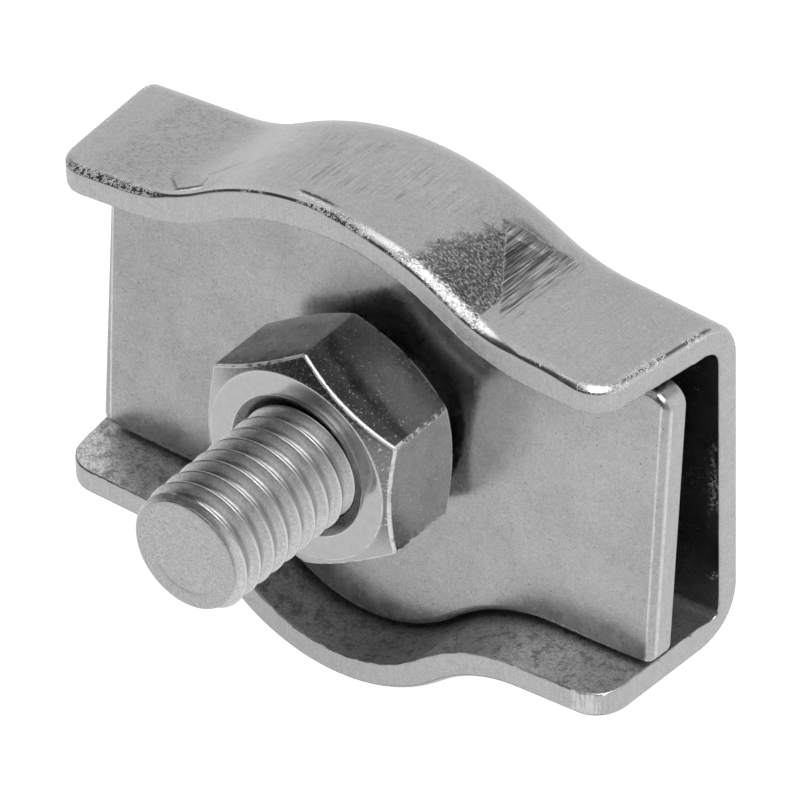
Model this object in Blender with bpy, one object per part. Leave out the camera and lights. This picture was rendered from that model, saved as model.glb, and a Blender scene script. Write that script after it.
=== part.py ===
"""Wire rope clip, simplex pattern, for 8 mm rope.

A folded sheet housing carries one M8 bolt; a pressure plate slides on the bolt
between the two flanges, and a hex nut drives it against the rope.

Frame, in metres: the origin is the centre of the bolt head's end face. +X runs
along the rope, -Y runs along the bolt towards its threaded end, +Z is up across
the two rope strands. The pieces are drawn with y = 0 at the outer face of the
housing's web, and the empty that carries them all moves them into the frame.
"""

import math
from collections import namedtuple

import bmesh
import bpy
import numpy as np
from mathutils import Matrix, Vector

MM = 0.001
SHARP_ANGLE = math.radians(30)      # edges turning more than this are shaded sharp
OVERCUT = 1 * MM                    # how far cutting solids pass the faces they cut
FINE_SIDES = 48                     # sides of chamfer, thread and countersink solids

# ---- sheet housing ----------------------------------------------------------
SHEET = 1.8 * MM                    # sheet thickness of housing and plate
WEB_ENDS = (20.62 * MM, 20.45 * MM) # web's reach towards -X and +X
TIP_HALF = 19.30 * MM               # x at which a flange's end height is measured
DEPTH = 11.4 * MM                   # web's outer face to flange tip
TIP_ROUND = 1.9 * MM                # corner radius at the flange tips
BEND_IN = 0.6 * MM                  # inner radius of both bends
EASE_FROM = 6 * MM                  # |x| where the bend leaves its crest radius
EASE_LENGTH = 9 * MM                # and the length over which it reaches its end radius
FLARE = math.radians(2.3)           # each flange opens outwards by this
HEIGHT_AT = 2.36 * MM               # depth at which the flange heights hold
BOLT_HOLE_R = 4.5 * MM              # hole in the web
HOUSING_STEPS = 36                  # segments along the rope
TIP_STEPS = 3                       # segments of a tip's rounding
BEND_STEPS = 6                      # segments of a bend
SLOPE_STEP = 0.01 * MM              # half the span over which a slope is taken
NORMAL_STEP = 0.02 * MM             # step along x for the sheet's normal
HOLE_SIDES = 40

Flange = namedtuple("Flange", (
    "side",         # +1 for the upper flange, -1 for the lower, which is mirrored in z
    "crest",        # crest height over the axis
    "crest_r",      # crest radius
    "fillet_r",     # radius of the concave fillet beside the crest
    "end",          # height at TIP_HALF
    "slope",        # fall of the straight end
    "tip_ends",     # tip's reach towards -X and +X
    "crest_bend",   # bend's outer radius under the crest
    "end_bend",     # bend's outer radius at the channel's ends
))
UPPER = Flange(
    side=1, crest=15.68 * MM, crest_r=16.97 * MM, fillet_r=11.35 * MM, end=11.03 * MM,
    slope=0.070, tip_ends=(19.57 * MM, 19.30 * MM), crest_bend=3.5 * MM, end_bend=2.6 * MM)
LOWER = Flange(
    side=-1, crest=16.52 * MM, crest_r=11.40 * MM, fillet_r=9.00 * MM, end=11.37 * MM,
    slope=0.035, tip_ends=(19.80 * MM, 19.30 * MM), crest_bend=3.6 * MM, end_bend=3.6 * MM)

# ---- pressure plate ---------------------------------------------------------
PLATE_HALF = 19.85 * MM             # half length
PLATE_FRONT = -7.35 * MM            # y of its front face on the bolt's axis
PLATE_LEAN = math.radians(4.0)      # the loose plate leans, its top towards the web
PLATE_SHIFT = 0.45 * MM             # it hangs this far off centre, towards +X
PLATE_GAP_TOP = 0.42 * MM           # play to the flanges
PLATE_GAP_BOTTOM = 0.25 * MM
PLATE_LIFT = 0.08 * MM              # added to the flange heights for the flare
PLATE_CORNER = 1.3 * MM             # outline's corner radius
PLATE_ROLL = 0.45 * MM              # rolled front edge
ROLL_MIDDLE = 0.30                  # the roll's middle ring, as a share of the roll
PLATE_SKEW = 0.020                  # its ends are cut a degree off square
PLATE_HOLE_R = 4.6 * MM
PLATE_CUT_Y = (-4 * MM, -10 * MM)   # span of the hole's cutter
PLATE_STEPS = 28                    # segments of each long edge
CORNER_STEPS = 4
CURVE_STEPS = 120                   # samples of a flange's inner face on each side of x = 0

# ---- hexagons of bolt head and nut ------------------------------------------
ACROSS_FLATS = 13.0 * MM
HEX_CORNER_R = ACROSS_FLATS / math.sqrt(3)
CHAMFER_R = HEX_CORNER_R + OVERCUT  # outer radius of the solids that chamfer them
CHAMFER_ANGLE = math.radians(30)

# ---- M8 thread --------------------------------------------------------------
PITCH = 1.25 * MM
CREST_R = 3.92 * MM
ROOT_R = 3.20 * MM
CREST_HALF = 0.078 * MM             # half width of the crest flat
FLANK_ANGLE = math.radians(30)
THREAD_Y0 = -15.26 * MM             # a crest crosses the +X side here
THREAD_STEPS = 24                   # segments to a turn
RUN_RADIAL = 0.13 * MM              # running clearance of the nut's thread
RUN_AXIAL = 0.07 * MM

# ---- bolt -------------------------------------------------------------------
UNDER_HEAD = 0.30 * MM              # y of the head's underside
HEAD_TOP = UNDER_HEAD + 5.3 * MM    # y of the head's end face
HEAD_FLAT_R = 0.475 * ACROSS_FLATS  # flat face's radius inside the chamfer
HEAD_TURN = math.radians(12)        # turn from a corner pointing up
SHANK_R = 3.85 * MM
SHANK_SIDES = 32
SHANK_IN_HEAD = 0.5 * MM            # overlap with the head
SHANK_CORE_R = ROOT_R - 0.05 * MM   # reduced end, overlapping the thread
THREAD_TO = -3.6 * MM               # where the thread runs out near the web
TAPER_Y = (THREAD_TO + 0.9 * MM, THREAD_TO + 0.2 * MM)     # shank narrows between these
SHANK_END = THREAD_TO - 1.0 * MM
BLANK_R = CREST_R + 0.3 * MM        # the blank that trims the thread clears its crests
BLANK_START_R = ROOT_R - 0.25 * MM
RUNOUT_Y = (THREAD_TO + 0.3 * MM, THREAD_TO - 0.85 * MM)   # blank widens between these
BOLT_END = -24.65 * MM
BOLT_TIP_R = 3.50 * MM              # radius of the flat inside the end's 45 degree chamfer

# ---- nut --------------------------------------------------------------------
NUT_BACK = -8.1 * MM
NUT_FRONT = NUT_BACK - 6.4 * MM
NUT_FLAT_R = 6.10 * MM              # flat face's radius inside the chamfer
NUT_TURN = math.radians(-1.5)       # turn from a corner pointing up
SINK_R = 4.60 * MM                  # mouth of the countersink
SINK_CORE_R = ROOT_R + RUN_RADIAL - 0.1 * MM    # and its floor
SINK_DEPTH = 0.9 * (SINK_R - SINK_CORE_R)
SINK_OVERCUT = 0.5 * MM


# ---- scene and materials ----------------------------------------------------
def clear_scene():
    for obj in list(bpy.data.objects):
        bpy.data.objects.remove(obj, do_unlink=True)


def steel(name, grey, roughness):
    mat = bpy.data.materials.new(name)
    mat.use_nodes = True
    bsdf = mat.node_tree.nodes["Principled BSDF"]
    blue = grey * 1.01      # a trace colder than neutral
    bsdf.inputs["Base Color"].default_value = (grey, grey, blue, 1)
    bsdf.inputs["Metallic"].default_value = 1.0
    bsdf.inputs["Roughness"].default_value = roughness
    mat.diffuse_color = (grey, grey, grey, 1)
    return mat


# ---- building helpers -------------------------------------------------------
def new_object(name, bm, mat=None):
    """Link the bmesh as an object; one without a material is a hidden helper."""
    bmesh.ops.recalc_face_normals(bm, faces=bm.faces)
    mesh = bpy.data.meshes.new(name)
    bm.to_mesh(mesh)
    bm.free()
    mesh.shade_smooth()
    mesh.set_sharp_from_angle(angle=SHARP_ANGLE)
    obj = bpy.data.objects.new(name, mesh)
    bpy.context.scene.collection.objects.link(obj)
    if mat:
        mesh.materials.append(mat)
    else:
        obj.hide_render = True
        obj.display_type = "WIRE"
    return obj


def boolean(obj, other, operation):
    mod = obj.modifiers.new(operation.lower() + "_" + other.name, "BOOLEAN")
    mod.operation = operation
    mod.solver = "EXACT"
    mod.object = other


def lathe(name, points, sides, start=0.0, mat=None):
    """Solid turned about the Y axis from (radius, y) points, closed flat at both ends."""
    bm = bmesh.new()
    first_tip = bm.verts.new((0, points[0][1], 0))
    rings = []
    for radius, y in points:
        angles = [start + 2 * math.pi * k / sides for k in range(sides)]
        rings.append([bm.verts.new((radius * math.cos(a), y, radius * math.sin(a)))
                      for a in angles])
    last_tip = bm.verts.new((0, points[-1][1], 0))
    for k in range(sides):
        bm.faces.new((first_tip, rings[0][k], rings[0][(k + 1) % sides]))
    for ring, following in zip(rings[:-1], rings[1:]):
        for k in range(sides):
            n = (k + 1) % sides
            bm.faces.new((ring[k], ring[n], following[n], following[k]))
    for k in range(sides):
        bm.faces.new((rings[-1][k], rings[-1][(k + 1) % sides], last_tip))
    return new_object(name, bm, mat)


def hole_cutter(name, radius, y_high, y_low):
    return lathe(name, [(radius, y_high), (radius, y_low)], HOLE_SIDES)


def hex_prism(name, y_high, y_low, turn, mat):
    return lathe(name, [(HEX_CORNER_R, y_high), (HEX_CORNER_R, y_low)], 6,
                 start=math.pi / 2 + turn, mat=mat)


def chamfer_drop(flat_r):
    """Depth of the chamfer's cone between the flat face's radius and CHAMFER_R."""
    return (CHAMFER_R - flat_r) * math.tan(CHAMFER_ANGLE)


# ---- flange shape -----------------------------------------------------------
def flange_height(x, flange):
    """Height of the sheet's outer face: crest arc, concave fillet, sloping end."""
    x = abs(x)
    slope, fillet_r = flange.slope, flange.fillet_r
    tilt = math.atan(slope)
    crest_centre = flange.crest - flange.crest_r
    # The fillet's centre lies on a line fillet_r above the sloping end,
    # both radii away from the crest's centre.
    line = flange.end + slope * TIP_HALF + fillet_r / math.cos(tilt)
    radii = flange.crest_r + fillet_r
    a = 1 + slope * slope
    b = -2 * slope * (line - crest_centre)
    c = (line - crest_centre) ** 2 - radii ** 2
    fillet_x = (-b + math.sqrt(b * b - 4 * a * c)) / (2 * a)
    fillet_z = line - slope * fillet_x
    if x < fillet_x * flange.crest_r / radii:
        return crest_centre + math.sqrt(flange.crest_r ** 2 - x * x)
    if x < fillet_x - fillet_r * math.sin(tilt):
        return fillet_z - math.sqrt(fillet_r ** 2 - (x - fillet_x) ** 2)
    return flange.end - slope * (x - TIP_HALF)


def flange_slope(x, flange):
    rise = flange_height(x + SLOPE_STEP, flange) - flange_height(x - SLOPE_STEP, flange)
    return rise / (2 * SLOPE_STEP)


def bend_radius(x, flange):
    """Outer radius of the bend between web and flange at x."""
    share = min(max((abs(x) - EASE_FROM) / EASE_LENGTH, 0.0), 1.0)
    share = share * share * (3 - 2 * share)
    return flange.crest_bend + (flange.end_bend - flange.crest_bend) * share


# ---- housing ----------------------------------------------------------------
def half_section():
    """Stations (kind, value) round half the channel's section, from tip to web.

    A flange station is a depth; a line station is a share of the way from the
    tip's rounding to the bend; a bend station is a share of the bend's turn.
    """
    stations = []
    for k in range(TIP_STEPS + 1):
        angle = math.radians(90 * k / TIP_STEPS)
        stations.append(("flange", DEPTH - TIP_ROUND + TIP_ROUND * math.cos(angle)))
    stations.append(("line", 0.5))
    stations += [("bend", k / BEND_STEPS) for k in range(BEND_STEPS + 1)]
    return stations


def bend_angle(share):
    """Angle at the bend's centre, from the web's normal towards the flange."""
    return (math.pi / 2 - FLARE) * (1 - share)


def section_point(x, station, flange):
    """(y, z) of the outer face at x, before the lower flange is mirrored."""
    kind, value = station
    height = flange_height(x, flange)
    radius = bend_radius(x, flange)
    bend_start = radius * (1 - math.sin(FLARE))
    if kind == "bend":
        centre_z = (height + (bend_start - HEIGHT_AT) * math.tan(FLARE)
                    - radius * math.cos(FLARE))
        angle = bend_angle(value)
        return -radius + radius * math.cos(angle), centre_z + radius * math.sin(angle)
    depth = value
    if kind == "line":
        rounding = DEPTH - TIP_ROUND
        depth = rounding + (bend_start - rounding) * value
    return -depth, height + (depth - HEIGHT_AT) * math.tan(FLARE)


def thickness(x, station, flange):
    """The sheet's thickness, which drops in a bend whose inside is the sharper."""
    kind, value = station
    if kind != "bend":
        return SHEET
    radius = bend_radius(x, flange)
    angle = 0.5 * math.pi * (1 - value)
    cos, sin = math.cos(angle), math.sin(angle)
    # where a ray from the outer bend's centre meets the inner bend's arc
    offset = radius - SHEET - BEND_IN
    under_root = offset ** 2 * (cos + sin) ** 2 - 2 * offset ** 2 + BEND_IN ** 2
    if under_root >= 0:
        reach = offset * (cos + sin) + math.sqrt(under_root)
        if reach * cos >= offset and reach * sin >= offset:
            return radius - reach
    # otherwise it meets one of the straight inner faces
    return radius - (radius - SHEET) / max(cos, sin)


def end_reach(depth, end, flange):
    """How far the channel reaches towards -X (end 0) or +X (end 1) at this depth."""
    reach = WEB_ENDS[end] + (flange.tip_ends[end] - WEB_ENDS[end]) * depth / DEPTH
    into_round = depth - (DEPTH - TIP_ROUND)
    if into_round > 0:
        # rounding error can take the difference just below zero at the tip
        reach -= TIP_ROUND - math.sqrt(max(TIP_ROUND ** 2 - into_round ** 2, 0.0))
    return reach


def outer_and_inner(x, station, flange):
    """Points on the sheet's outer and inner faces, one thickness apart."""
    y, z = section_point(x, station, flange)
    next_y, next_z = section_point(x + NORMAL_STEP, station, flange)
    kind, value = station
    if kind == "bend":
        angle = bend_angle(value)
        across = Vector((0, -math.sin(angle), math.cos(angle)))
    else:
        across = Vector((0, -math.cos(FLARE), math.sin(FLARE)))
    along = Vector((NORMAL_STEP, next_y - y, next_z - z))
    normal = across.cross(along).normalized()
    outer = Vector((x, y, z))
    inner = outer - normal * thickness(x, station, flange)
    outer.z *= flange.side
    inner.z *= flange.side
    return outer, inner


def make_housing(mat):
    half = half_section()
    section = [(station, UPPER) for station in half]
    section += [(station, LOWER) for station in reversed(half)]
    bm = bmesh.new()
    outer, inner = [], []
    for station, flange in section:
        outer_line, inner_line = [], []
        for i in range(HOUSING_STEPS + 1):
            share = 2 * i / HOUSING_STEPS - 1
            y, _ = section_point(WEB_ENDS[1] * share, station, flange)
            x = end_reach(-y, 0 if share < 0 else 1, flange) * share
            outer_point, inner_point = outer_and_inner(x, station, flange)
            outer_line.append(bm.verts.new(outer_point))
            inner_line.append(bm.verts.new(inner_point))
        outer.append(outer_line)
        inner.append(inner_line)
    last = len(section) - 1
    for r in range(last):
        for i in range(HOUSING_STEPS):
            bm.faces.new((outer[r][i], outer[r][i + 1], outer[r + 1][i + 1], outer[r + 1][i]))
            bm.faces.new((inner[r][i], inner[r + 1][i], inner[r + 1][i + 1], inner[r][i + 1]))
        for i in (0, HOUSING_STEPS):
            bm.faces.new((outer[r][i], outer[r + 1][i], inner[r + 1][i], inner[r][i]))
    for r in (0, last):
        for i in range(HOUSING_STEPS):
            bm.faces.new((outer[r][i], outer[r][i + 1], inner[r][i + 1], inner[r][i]))
    housing = new_object("housing", bm, mat)
    hole = hole_cutter("housing_hole_cutter", BOLT_HOLE_R, OVERCUT, -SHEET - OVERCUT)
    boolean(housing, hole, "DIFFERENCE")


# ---- thread -----------------------------------------------------------------
def make_thread(name, y_high, y_low, grow_r=0.0, grow_y=0.0):
    """A right-handed V thread swept down the axis, from above y_high to below y_low.

    grow_r and grow_y enlarge its profile, for the tap that cuts the nut.
    """
    crest, root = CREST_R + grow_r, ROOT_R + grow_r
    crest_half = CREST_HALF + grow_y
    foot_half = CREST_HALF + (CREST_R - ROOT_R) * math.tan(FLANK_ANGLE) + grow_y
    # (radius, distance along -Y): flank foot, crest, crest, flank foot
    profile = ((root, -foot_half), (crest, -crest_half), (crest, crest_half), (root, foot_half))
    # whole turns along -Y, counted from the crest that passes THREAD_Y0
    first = math.floor((THREAD_Y0 - y_high) / PITCH) - 1
    final = math.ceil((THREAD_Y0 - y_low) / PITCH) + 1
    turn = THREAD_STEPS
    count = (final - first) * turn
    bm = bmesh.new()
    rows = []
    for m in range(count + 1):
        angle = 2 * math.pi * m / turn
        y = THREAD_Y0 - PITCH * (first + m / turn)
        rows.append([bm.verts.new((radius * math.cos(angle), y - down, radius * math.sin(angle)))
                     for radius, down in profile])
    for m in range(count):
        for c in range(3):
            bm.faces.new((rows[m][c], rows[m + 1][c], rows[m + 1][c + 1], rows[m][c + 1]))
        # the root, between this turn's last foot and the next turn's first
        if m + 1 + turn <= count:
            bm.faces.new((rows[m][3], rows[m + 1][3], rows[m + 1 + turn][0], rows[m + turn][0]))
    # each end is closed by a fan to a point on the axis, one pitch further out
    start_loop = [rows[m][0] for m in range(turn + 1)] + [rows[0][c] for c in (3, 2, 1)]
    end_loop = [rows[m][3] for m in range(count - turn, count + 1)]
    end_loop += [rows[count][c] for c in (2, 1, 0)]
    for loop, turns in ((start_loop, first - 1), (end_loop, final + 1)):
        tip = bm.verts.new((0, THREAD_Y0 - PITCH * turns, 0))
        for a, b in zip(loop, loop[1:] + loop[:1]):
            bm.faces.new((a, b, tip))
    return new_object(name, bm)


# ---- bolt -------------------------------------------------------------------
def make_bolt(mat):
    bolt = hex_prism("hex_bolt", HEAD_TOP, UNDER_HEAD, HEAD_TURN, mat)
    cone = lathe("bolt_head_chamfer", [
        (HEAD_FLAT_R, HEAD_TOP),
        (CHAMFER_R, HEAD_TOP - chamfer_drop(HEAD_FLAT_R)),
        (CHAMFER_R, UNDER_HEAD - OVERCUT)], FINE_SIDES)
    boolean(bolt, cone, "INTERSECT")
    shank = lathe("bolt_shank", [
        (SHANK_R, UNDER_HEAD + SHANK_IN_HEAD),
        (SHANK_R, TAPER_Y[0]),
        (SHANK_CORE_R, TAPER_Y[1]),
        (SHANK_CORE_R, SHANK_END)], SHANK_SIDES)
    boolean(bolt, shank, "UNION")
    thread = make_thread("bolt_thread", THREAD_TO, BOLT_END)
    blank = lathe("bolt_thread_blank", [
        (BLANK_START_R, RUNOUT_Y[0]),
        (BLANK_R, RUNOUT_Y[1]),
        (BLANK_R, BOLT_END + (BLANK_R - BOLT_TIP_R)),
        (BOLT_TIP_R, BOLT_END)], FINE_SIDES)
    boolean(thread, blank, "INTERSECT")
    boolean(bolt, thread, "UNION")


# ---- nut --------------------------------------------------------------------
def make_nut(mat):
    nut = hex_prism("hex_nut", NUT_BACK, NUT_FRONT, NUT_TURN, mat)
    drop = chamfer_drop(NUT_FLAT_R)
    cones = lathe("nut_chamfers", [
        (NUT_FLAT_R, NUT_BACK),
        (CHAMFER_R, NUT_BACK - drop),
        (CHAMFER_R, NUT_FRONT + drop),
        (NUT_FLAT_R, NUT_FRONT)], FINE_SIDES)
    boolean(nut, cones, "INTERSECT")
    tap = make_thread("nut_tap", NUT_BACK + PITCH, NUT_FRONT - PITCH, RUN_RADIAL, RUN_AXIAL)
    boolean(nut, tap, "DIFFERENCE")
    # inward is the sense along Y from the face into the nut
    for name, face, inward in (("nut_sink_front", NUT_FRONT, 1), ("nut_sink_back", NUT_BACK, -1)):
        sink = lathe(name, [
            (SINK_R, face - inward * SINK_OVERCUT),
            (SINK_R, face),
            (SINK_CORE_R, face + inward * SINK_DEPTH)], FINE_SIDES)
        boolean(nut, sink, "DIFFERENCE")
    return nut


# ---- pressure plate ---------------------------------------------------------
def inside_curve(flange, gap):
    """x and z lists along the flange's inner face, drawn in by the gap."""
    xs, zs = [], []
    for i in range(-CURVE_STEPS, CURVE_STEPS + 1):
        x = WEB_ENDS[1] * 1.1 * i / CURVE_STEPS
        normal = Vector((-flange_slope(x, flange), 1)).normalized()
        xs.append(x - normal.x * (SHEET + gap))
        zs.append(flange_height(x, flange) + PLATE_LIFT - normal.y * (SHEET + gap))
    return xs, zs


def corner(x, z, start, first):
    """Four points of a corner's arc about (x, z); first = 1 skips the one at start."""
    angles = [math.radians(start + 90 * k / CORNER_STEPS)
              for k in range(first, first + CORNER_STEPS)]
    return [(x + PLATE_CORNER * math.cos(a), z + PLATE_CORNER * math.sin(a)) for a in angles]


def plate_outline():
    """(x, z) outline in the plate's own plane, counter-clockwise, corners rounded."""
    end = PLATE_HALF - PLATE_CORNER
    edge_x = [-end + 2 * end * i / PLATE_STEPS for i in range(PLATE_STEPS + 1)]
    top_curve = inside_curve(UPPER, PLATE_GAP_TOP)
    bottom_curve = inside_curve(LOWER, PLATE_GAP_BOTTOM)
    top = [(x, np.interp(x + PLATE_SHIFT, *top_curve)) for x in reversed(edge_x)]
    bottom = [(x, -np.interp(x + PLATE_SHIFT, *bottom_curve)) for x in edge_x]
    outline = (
        bottom
        + corner(end, bottom[-1][1] + PLATE_CORNER, start=-90, first=1)
        + corner(end, top[0][1] - PLATE_CORNER, start=0, first=0)
        + top
        + corner(-end, top[-1][1] - PLATE_CORNER, start=90, first=1)
        + corner(-end, bottom[0][1] + PLATE_CORNER, start=180, first=0))
    # the skew grows with the fourth power of x, so it shows at the ends only
    return [Vector((x + PLATE_SKEW * z * abs(x / PLATE_HALF) ** 4, z)) for x, z in outline]


def inset(loop, amount):
    """The counter-clockwise loop with each point moved inwards."""
    moved = []
    for i, point in enumerate(loop):
        along = (loop[(i + 1) % len(loop)] - loop[i - 1]).normalized()
        moved.append(point + Vector((-along.y, along.x)) * amount)
    return moved


def make_plate(mat):
    """Local frame: its front face at y = 0 on the bolt's axis, its back at y = SHEET."""
    outline = plate_outline()
    middle = PLATE_ROLL * ROLL_MIDDLE
    # (y, inset) from the back face round the rolled edge to the front face
    levels = [(SHEET, 0.0), (PLATE_ROLL, 0.0), (middle, middle), (0.0, PLATE_ROLL)]
    bm = bmesh.new()
    rings = [[bm.verts.new((p.x, y, p.y)) for p in inset(outline, amount)]
             for y, amount in levels]
    count = len(outline)
    for ring, following in zip(rings[:-1], rings[1:]):
        for i in range(count):
            j = (i + 1) % count
            bm.faces.new((ring[i], ring[j], following[j], following[i]))
    bm.faces.new(rings[0])
    bm.faces.new(rings[-1])
    plate = new_object("pressure_plate", bm, mat)
    plate.location = (PLATE_SHIFT, PLATE_FRONT, 0)
    plate.rotation_euler = (-PLATE_LEAN, 0, 0)
    boolean(plate, hole_cutter("plate_hole_cutter", PLATE_HOLE_R, *PLATE_CUT_Y), "DIFFERENCE")


# ---- assembly ---------------------------------------------------------------
def new_empty(name, y):
    empty = bpy.data.objects.new(name, None)
    bpy.context.scene.collection.objects.link(empty)
    empty.location = (0, y, 0)
    return empty


def assemble(nut):
    """Hang every object on the base empty, the nut by way of an empty of its own."""
    pieces = list(bpy.data.objects)
    base = new_empty("clip", -HEAD_TOP)
    # the nut's empty stands on the bolt's axis, in the plane of the nut's back face
    axis = new_empty("nut_axis", NUT_BACK)
    axis.parent = base
    for obj in pieces:
        if obj != nut:
            obj.parent = base
    nut.parent = axis
    nut.matrix_parent_inverse = Matrix.Translation((0, -NUT_BACK, 0))
    bpy.context.view_layer.update()


def main():
    clear_scene()
    satin = steel("satin_stainless", grey=0.60, roughness=0.34)
    bright = steel("bright_stainless", grey=0.62, roughness=0.20)
    make_housing(satin)
    make_bolt(bright)
    make_plate(satin)
    nut = make_nut(bright)
    assemble(nut)


main()
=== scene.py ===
"""Looks of a wire rope clip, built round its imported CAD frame.

A folded housing, a pressure plate, a nut and a bolt each stand for their CAD node.
The bolt lies along Y with its head at +Y and its tip at -Y, the front. The housing's web
stands across Y behind the plate, and its two flanges reach forward above and below.
Shapes are drawn with y = 0 at the outer face of the web.
"""

import math
from types import SimpleNamespace

import bmesh
import bpy
import numpy as np
from mathutils import Matrix, Vector


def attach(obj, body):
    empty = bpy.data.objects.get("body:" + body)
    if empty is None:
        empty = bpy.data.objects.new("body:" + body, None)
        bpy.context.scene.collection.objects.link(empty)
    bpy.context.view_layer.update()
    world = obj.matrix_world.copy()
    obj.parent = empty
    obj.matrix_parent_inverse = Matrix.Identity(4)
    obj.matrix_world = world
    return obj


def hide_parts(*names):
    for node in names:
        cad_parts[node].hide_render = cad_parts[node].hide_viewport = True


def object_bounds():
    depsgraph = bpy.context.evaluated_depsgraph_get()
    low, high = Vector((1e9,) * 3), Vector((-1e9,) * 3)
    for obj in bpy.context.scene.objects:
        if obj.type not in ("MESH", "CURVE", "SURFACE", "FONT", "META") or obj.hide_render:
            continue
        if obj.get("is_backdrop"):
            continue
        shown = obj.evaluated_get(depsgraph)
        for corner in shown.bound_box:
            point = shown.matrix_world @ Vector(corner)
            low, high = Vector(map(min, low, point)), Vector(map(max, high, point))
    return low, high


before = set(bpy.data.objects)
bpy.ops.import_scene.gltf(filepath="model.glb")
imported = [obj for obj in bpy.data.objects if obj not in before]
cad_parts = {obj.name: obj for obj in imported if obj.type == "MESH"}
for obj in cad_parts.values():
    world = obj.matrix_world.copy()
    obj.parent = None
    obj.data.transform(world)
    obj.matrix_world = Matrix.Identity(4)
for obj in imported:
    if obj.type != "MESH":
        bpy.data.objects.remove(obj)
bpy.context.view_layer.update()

MM = 0.001
TAN30 = math.tan(math.radians(30))

# ---- sizes: housing ---------------------------------------------------------------
# pairs named ENDS are the reaches towards -X and +X
SHEET = 1.8 * MM                   # thickness of the housing and the plate
WEB_ENDS = (20.62 * MM, 20.45 * MM)
TIP_HALF = 19.30 * MM
DEPTH = 11.4 * MM                  # from the web's outer face to the flange tips
TIP_ROUND = 1.9 * MM               # corner radius of the flange tips
BEND_TOP = 2.6 * MM                # outer bend radius of the upper flange, at its ends
BEND_CREST = 3.5 * MM              # and under its crest
BEND_BOTTOM = 3.6 * MM
BEND_IN = 0.6 * MM
HEIGHT_AT = 2.36 * MM              # depth at which the flange heights hold
BOLT_HOLE = 4.5 * MM               # radius
ROLL, DROP = 0.46 * MM, 0.23 * MM  # rolled edge: how far in, how far down
EDGE_CORNER = 0.05 * MM            # where the rolled edge meets the sheared face
SHEARED_FROM = 10                  # level of the edge profile where the sheared face starts

# segments of the sheet: along X, then tip corner, straight flange, bend and half the web
COLS = 236
TIP_ROWS, LINE_ROWS, BEND_ROWS, WEB_ROWS = 16, 34, 26, 12

# ---- sizes: plate -----------------------------------------------------------------
PLATE_HALF = 19.85 * MM
PLATE_FRONT = -7.35 * MM
PLATE_LEAN = math.radians(4.0)
PLATE_SHIFT = 0.45 * MM            # towards +X
PLATE_SKEW = 0.020                 # slant of the two ends
PLATE_GAP_TOP = 0.42 * MM
PLATE_GAP_BOTTOM = 0.25 * MM
PLATE_LIFT = 0.08 * MM
PLATE_CORNER = 1.3 * MM            # radius of the upper corners
PLATE_LOW_CORNER = 0.80 * MM
PLATE_HOLE = 4.6 * MM              # radius
PLATE_ROLL = 0.52 * MM             # radius of the rolled front edge
PLATE_STEPS, PLATE_END_STEPS, CORNER_STEPS = 150, 40, 8

# ---- sizes: bolt and nut ----------------------------------------------------------
PITCH = 1.25 * MM
CREST_R = 3.92 * MM
ROOT_R = 3.20 * MM
CREST_HALF = 0.078 * MM
THREAD_Y0 = -15.26 * MM            # a crest of the thread at angle zero
THREAD_TO = -3.6 * MM
BOLT_END = -24.65 * MM
BOLT_TIP_R = 3.50 * MM
SHANK_R = 3.85 * MM
UNDER_HEAD = 0.30 * MM
HEAD_HEIGHT = 5.3 * MM
HEAD_END = UNDER_HEAD + HEAD_HEIGHT  # the CAD frame's origin
ACROSS_FLATS = 13.0 * MM
HEX_CORNER_R = 0.26 * MM
HEX_STEPS = 40                     # angles on each of the six sides
HEAD_TURN = math.radians(12)
NUT_BACK = -8.1 * MM
NUT_HEIGHT = 6.4 * MM
NUT_CHAMFER_R = 6.10 * MM          # where the chamfer starts, on nut and head
NUT_SINK_R = 4.60 * MM             # countersink at both mouths of the bore
NUT_TURN = math.radians(-1.5)
BORE_CLEARANCE = 0.13 * MM
THREAD_TURN_STEPS, THREAD_PITCH_STEPS, BORE_STEPS = 128, 30, 170

# material slots of the nut and the head
FLATS, FACE, CONE, WEAR_AND_HIGHLIGHT, BORE = range(5)

# end face of the bolt, in mm: radius, how far it stands out past BOLT_END
BOLT_END_DISH = (
    (3.44, 0.040), (3.34, 0.068), (3.20, 0.085), (3.0, 0.090), (2.75, 0.085),
    (2.58, 0.070), (2.50, 0.035), (2.42, 0.012), (2.30, 0.004), (1.9, 0.012),
    (1.2, 0.030), (0.6, 0.036), (0, 0.038),
)


# ---- mesh helpers -----------------------------------------------------------------
def mesh_object(name, verts, faces, materials=(), sharp=35, slots=None, merge=None):
    """A mesh from points in the drawing's frame, moved into the CAD frame.

    sharp is in degrees, merge is a distance, slots holds one material index per face.
    """
    points = np.array(verts, float)
    points[:, 1] -= HEAD_END
    mesh = bpy.data.meshes.new(name)
    mesh.from_pydata([tuple(p) for p in points], [], [tuple(int(i) for i in f) for f in faces])
    if slots is not None:
        mesh.polygons.foreach_set("material_index", slots)
    mesh.validate()
    bm = bmesh.new()
    bm.from_mesh(mesh)
    if merge:
        bmesh.ops.remove_doubles(bm, verts=bm.verts, dist=merge)
        bmesh.ops.dissolve_degenerate(bm, edges=bm.edges, dist=merge * 0.5)
    bmesh.ops.recalc_face_normals(bm, faces=bm.faces)
    bm.to_mesh(mesh)
    bm.free()
    smooth_shading(mesh, sharp)
    for material in materials:
        mesh.materials.append(material)
    obj = bpy.data.objects.new(name, mesh)
    bpy.context.scene.collection.objects.link(obj)
    return obj


def smooth_shading(mesh, sharp):
    mesh.shade_smooth()
    mesh.set_sharp_from_angle(angle=math.radians(sharp))


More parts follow.
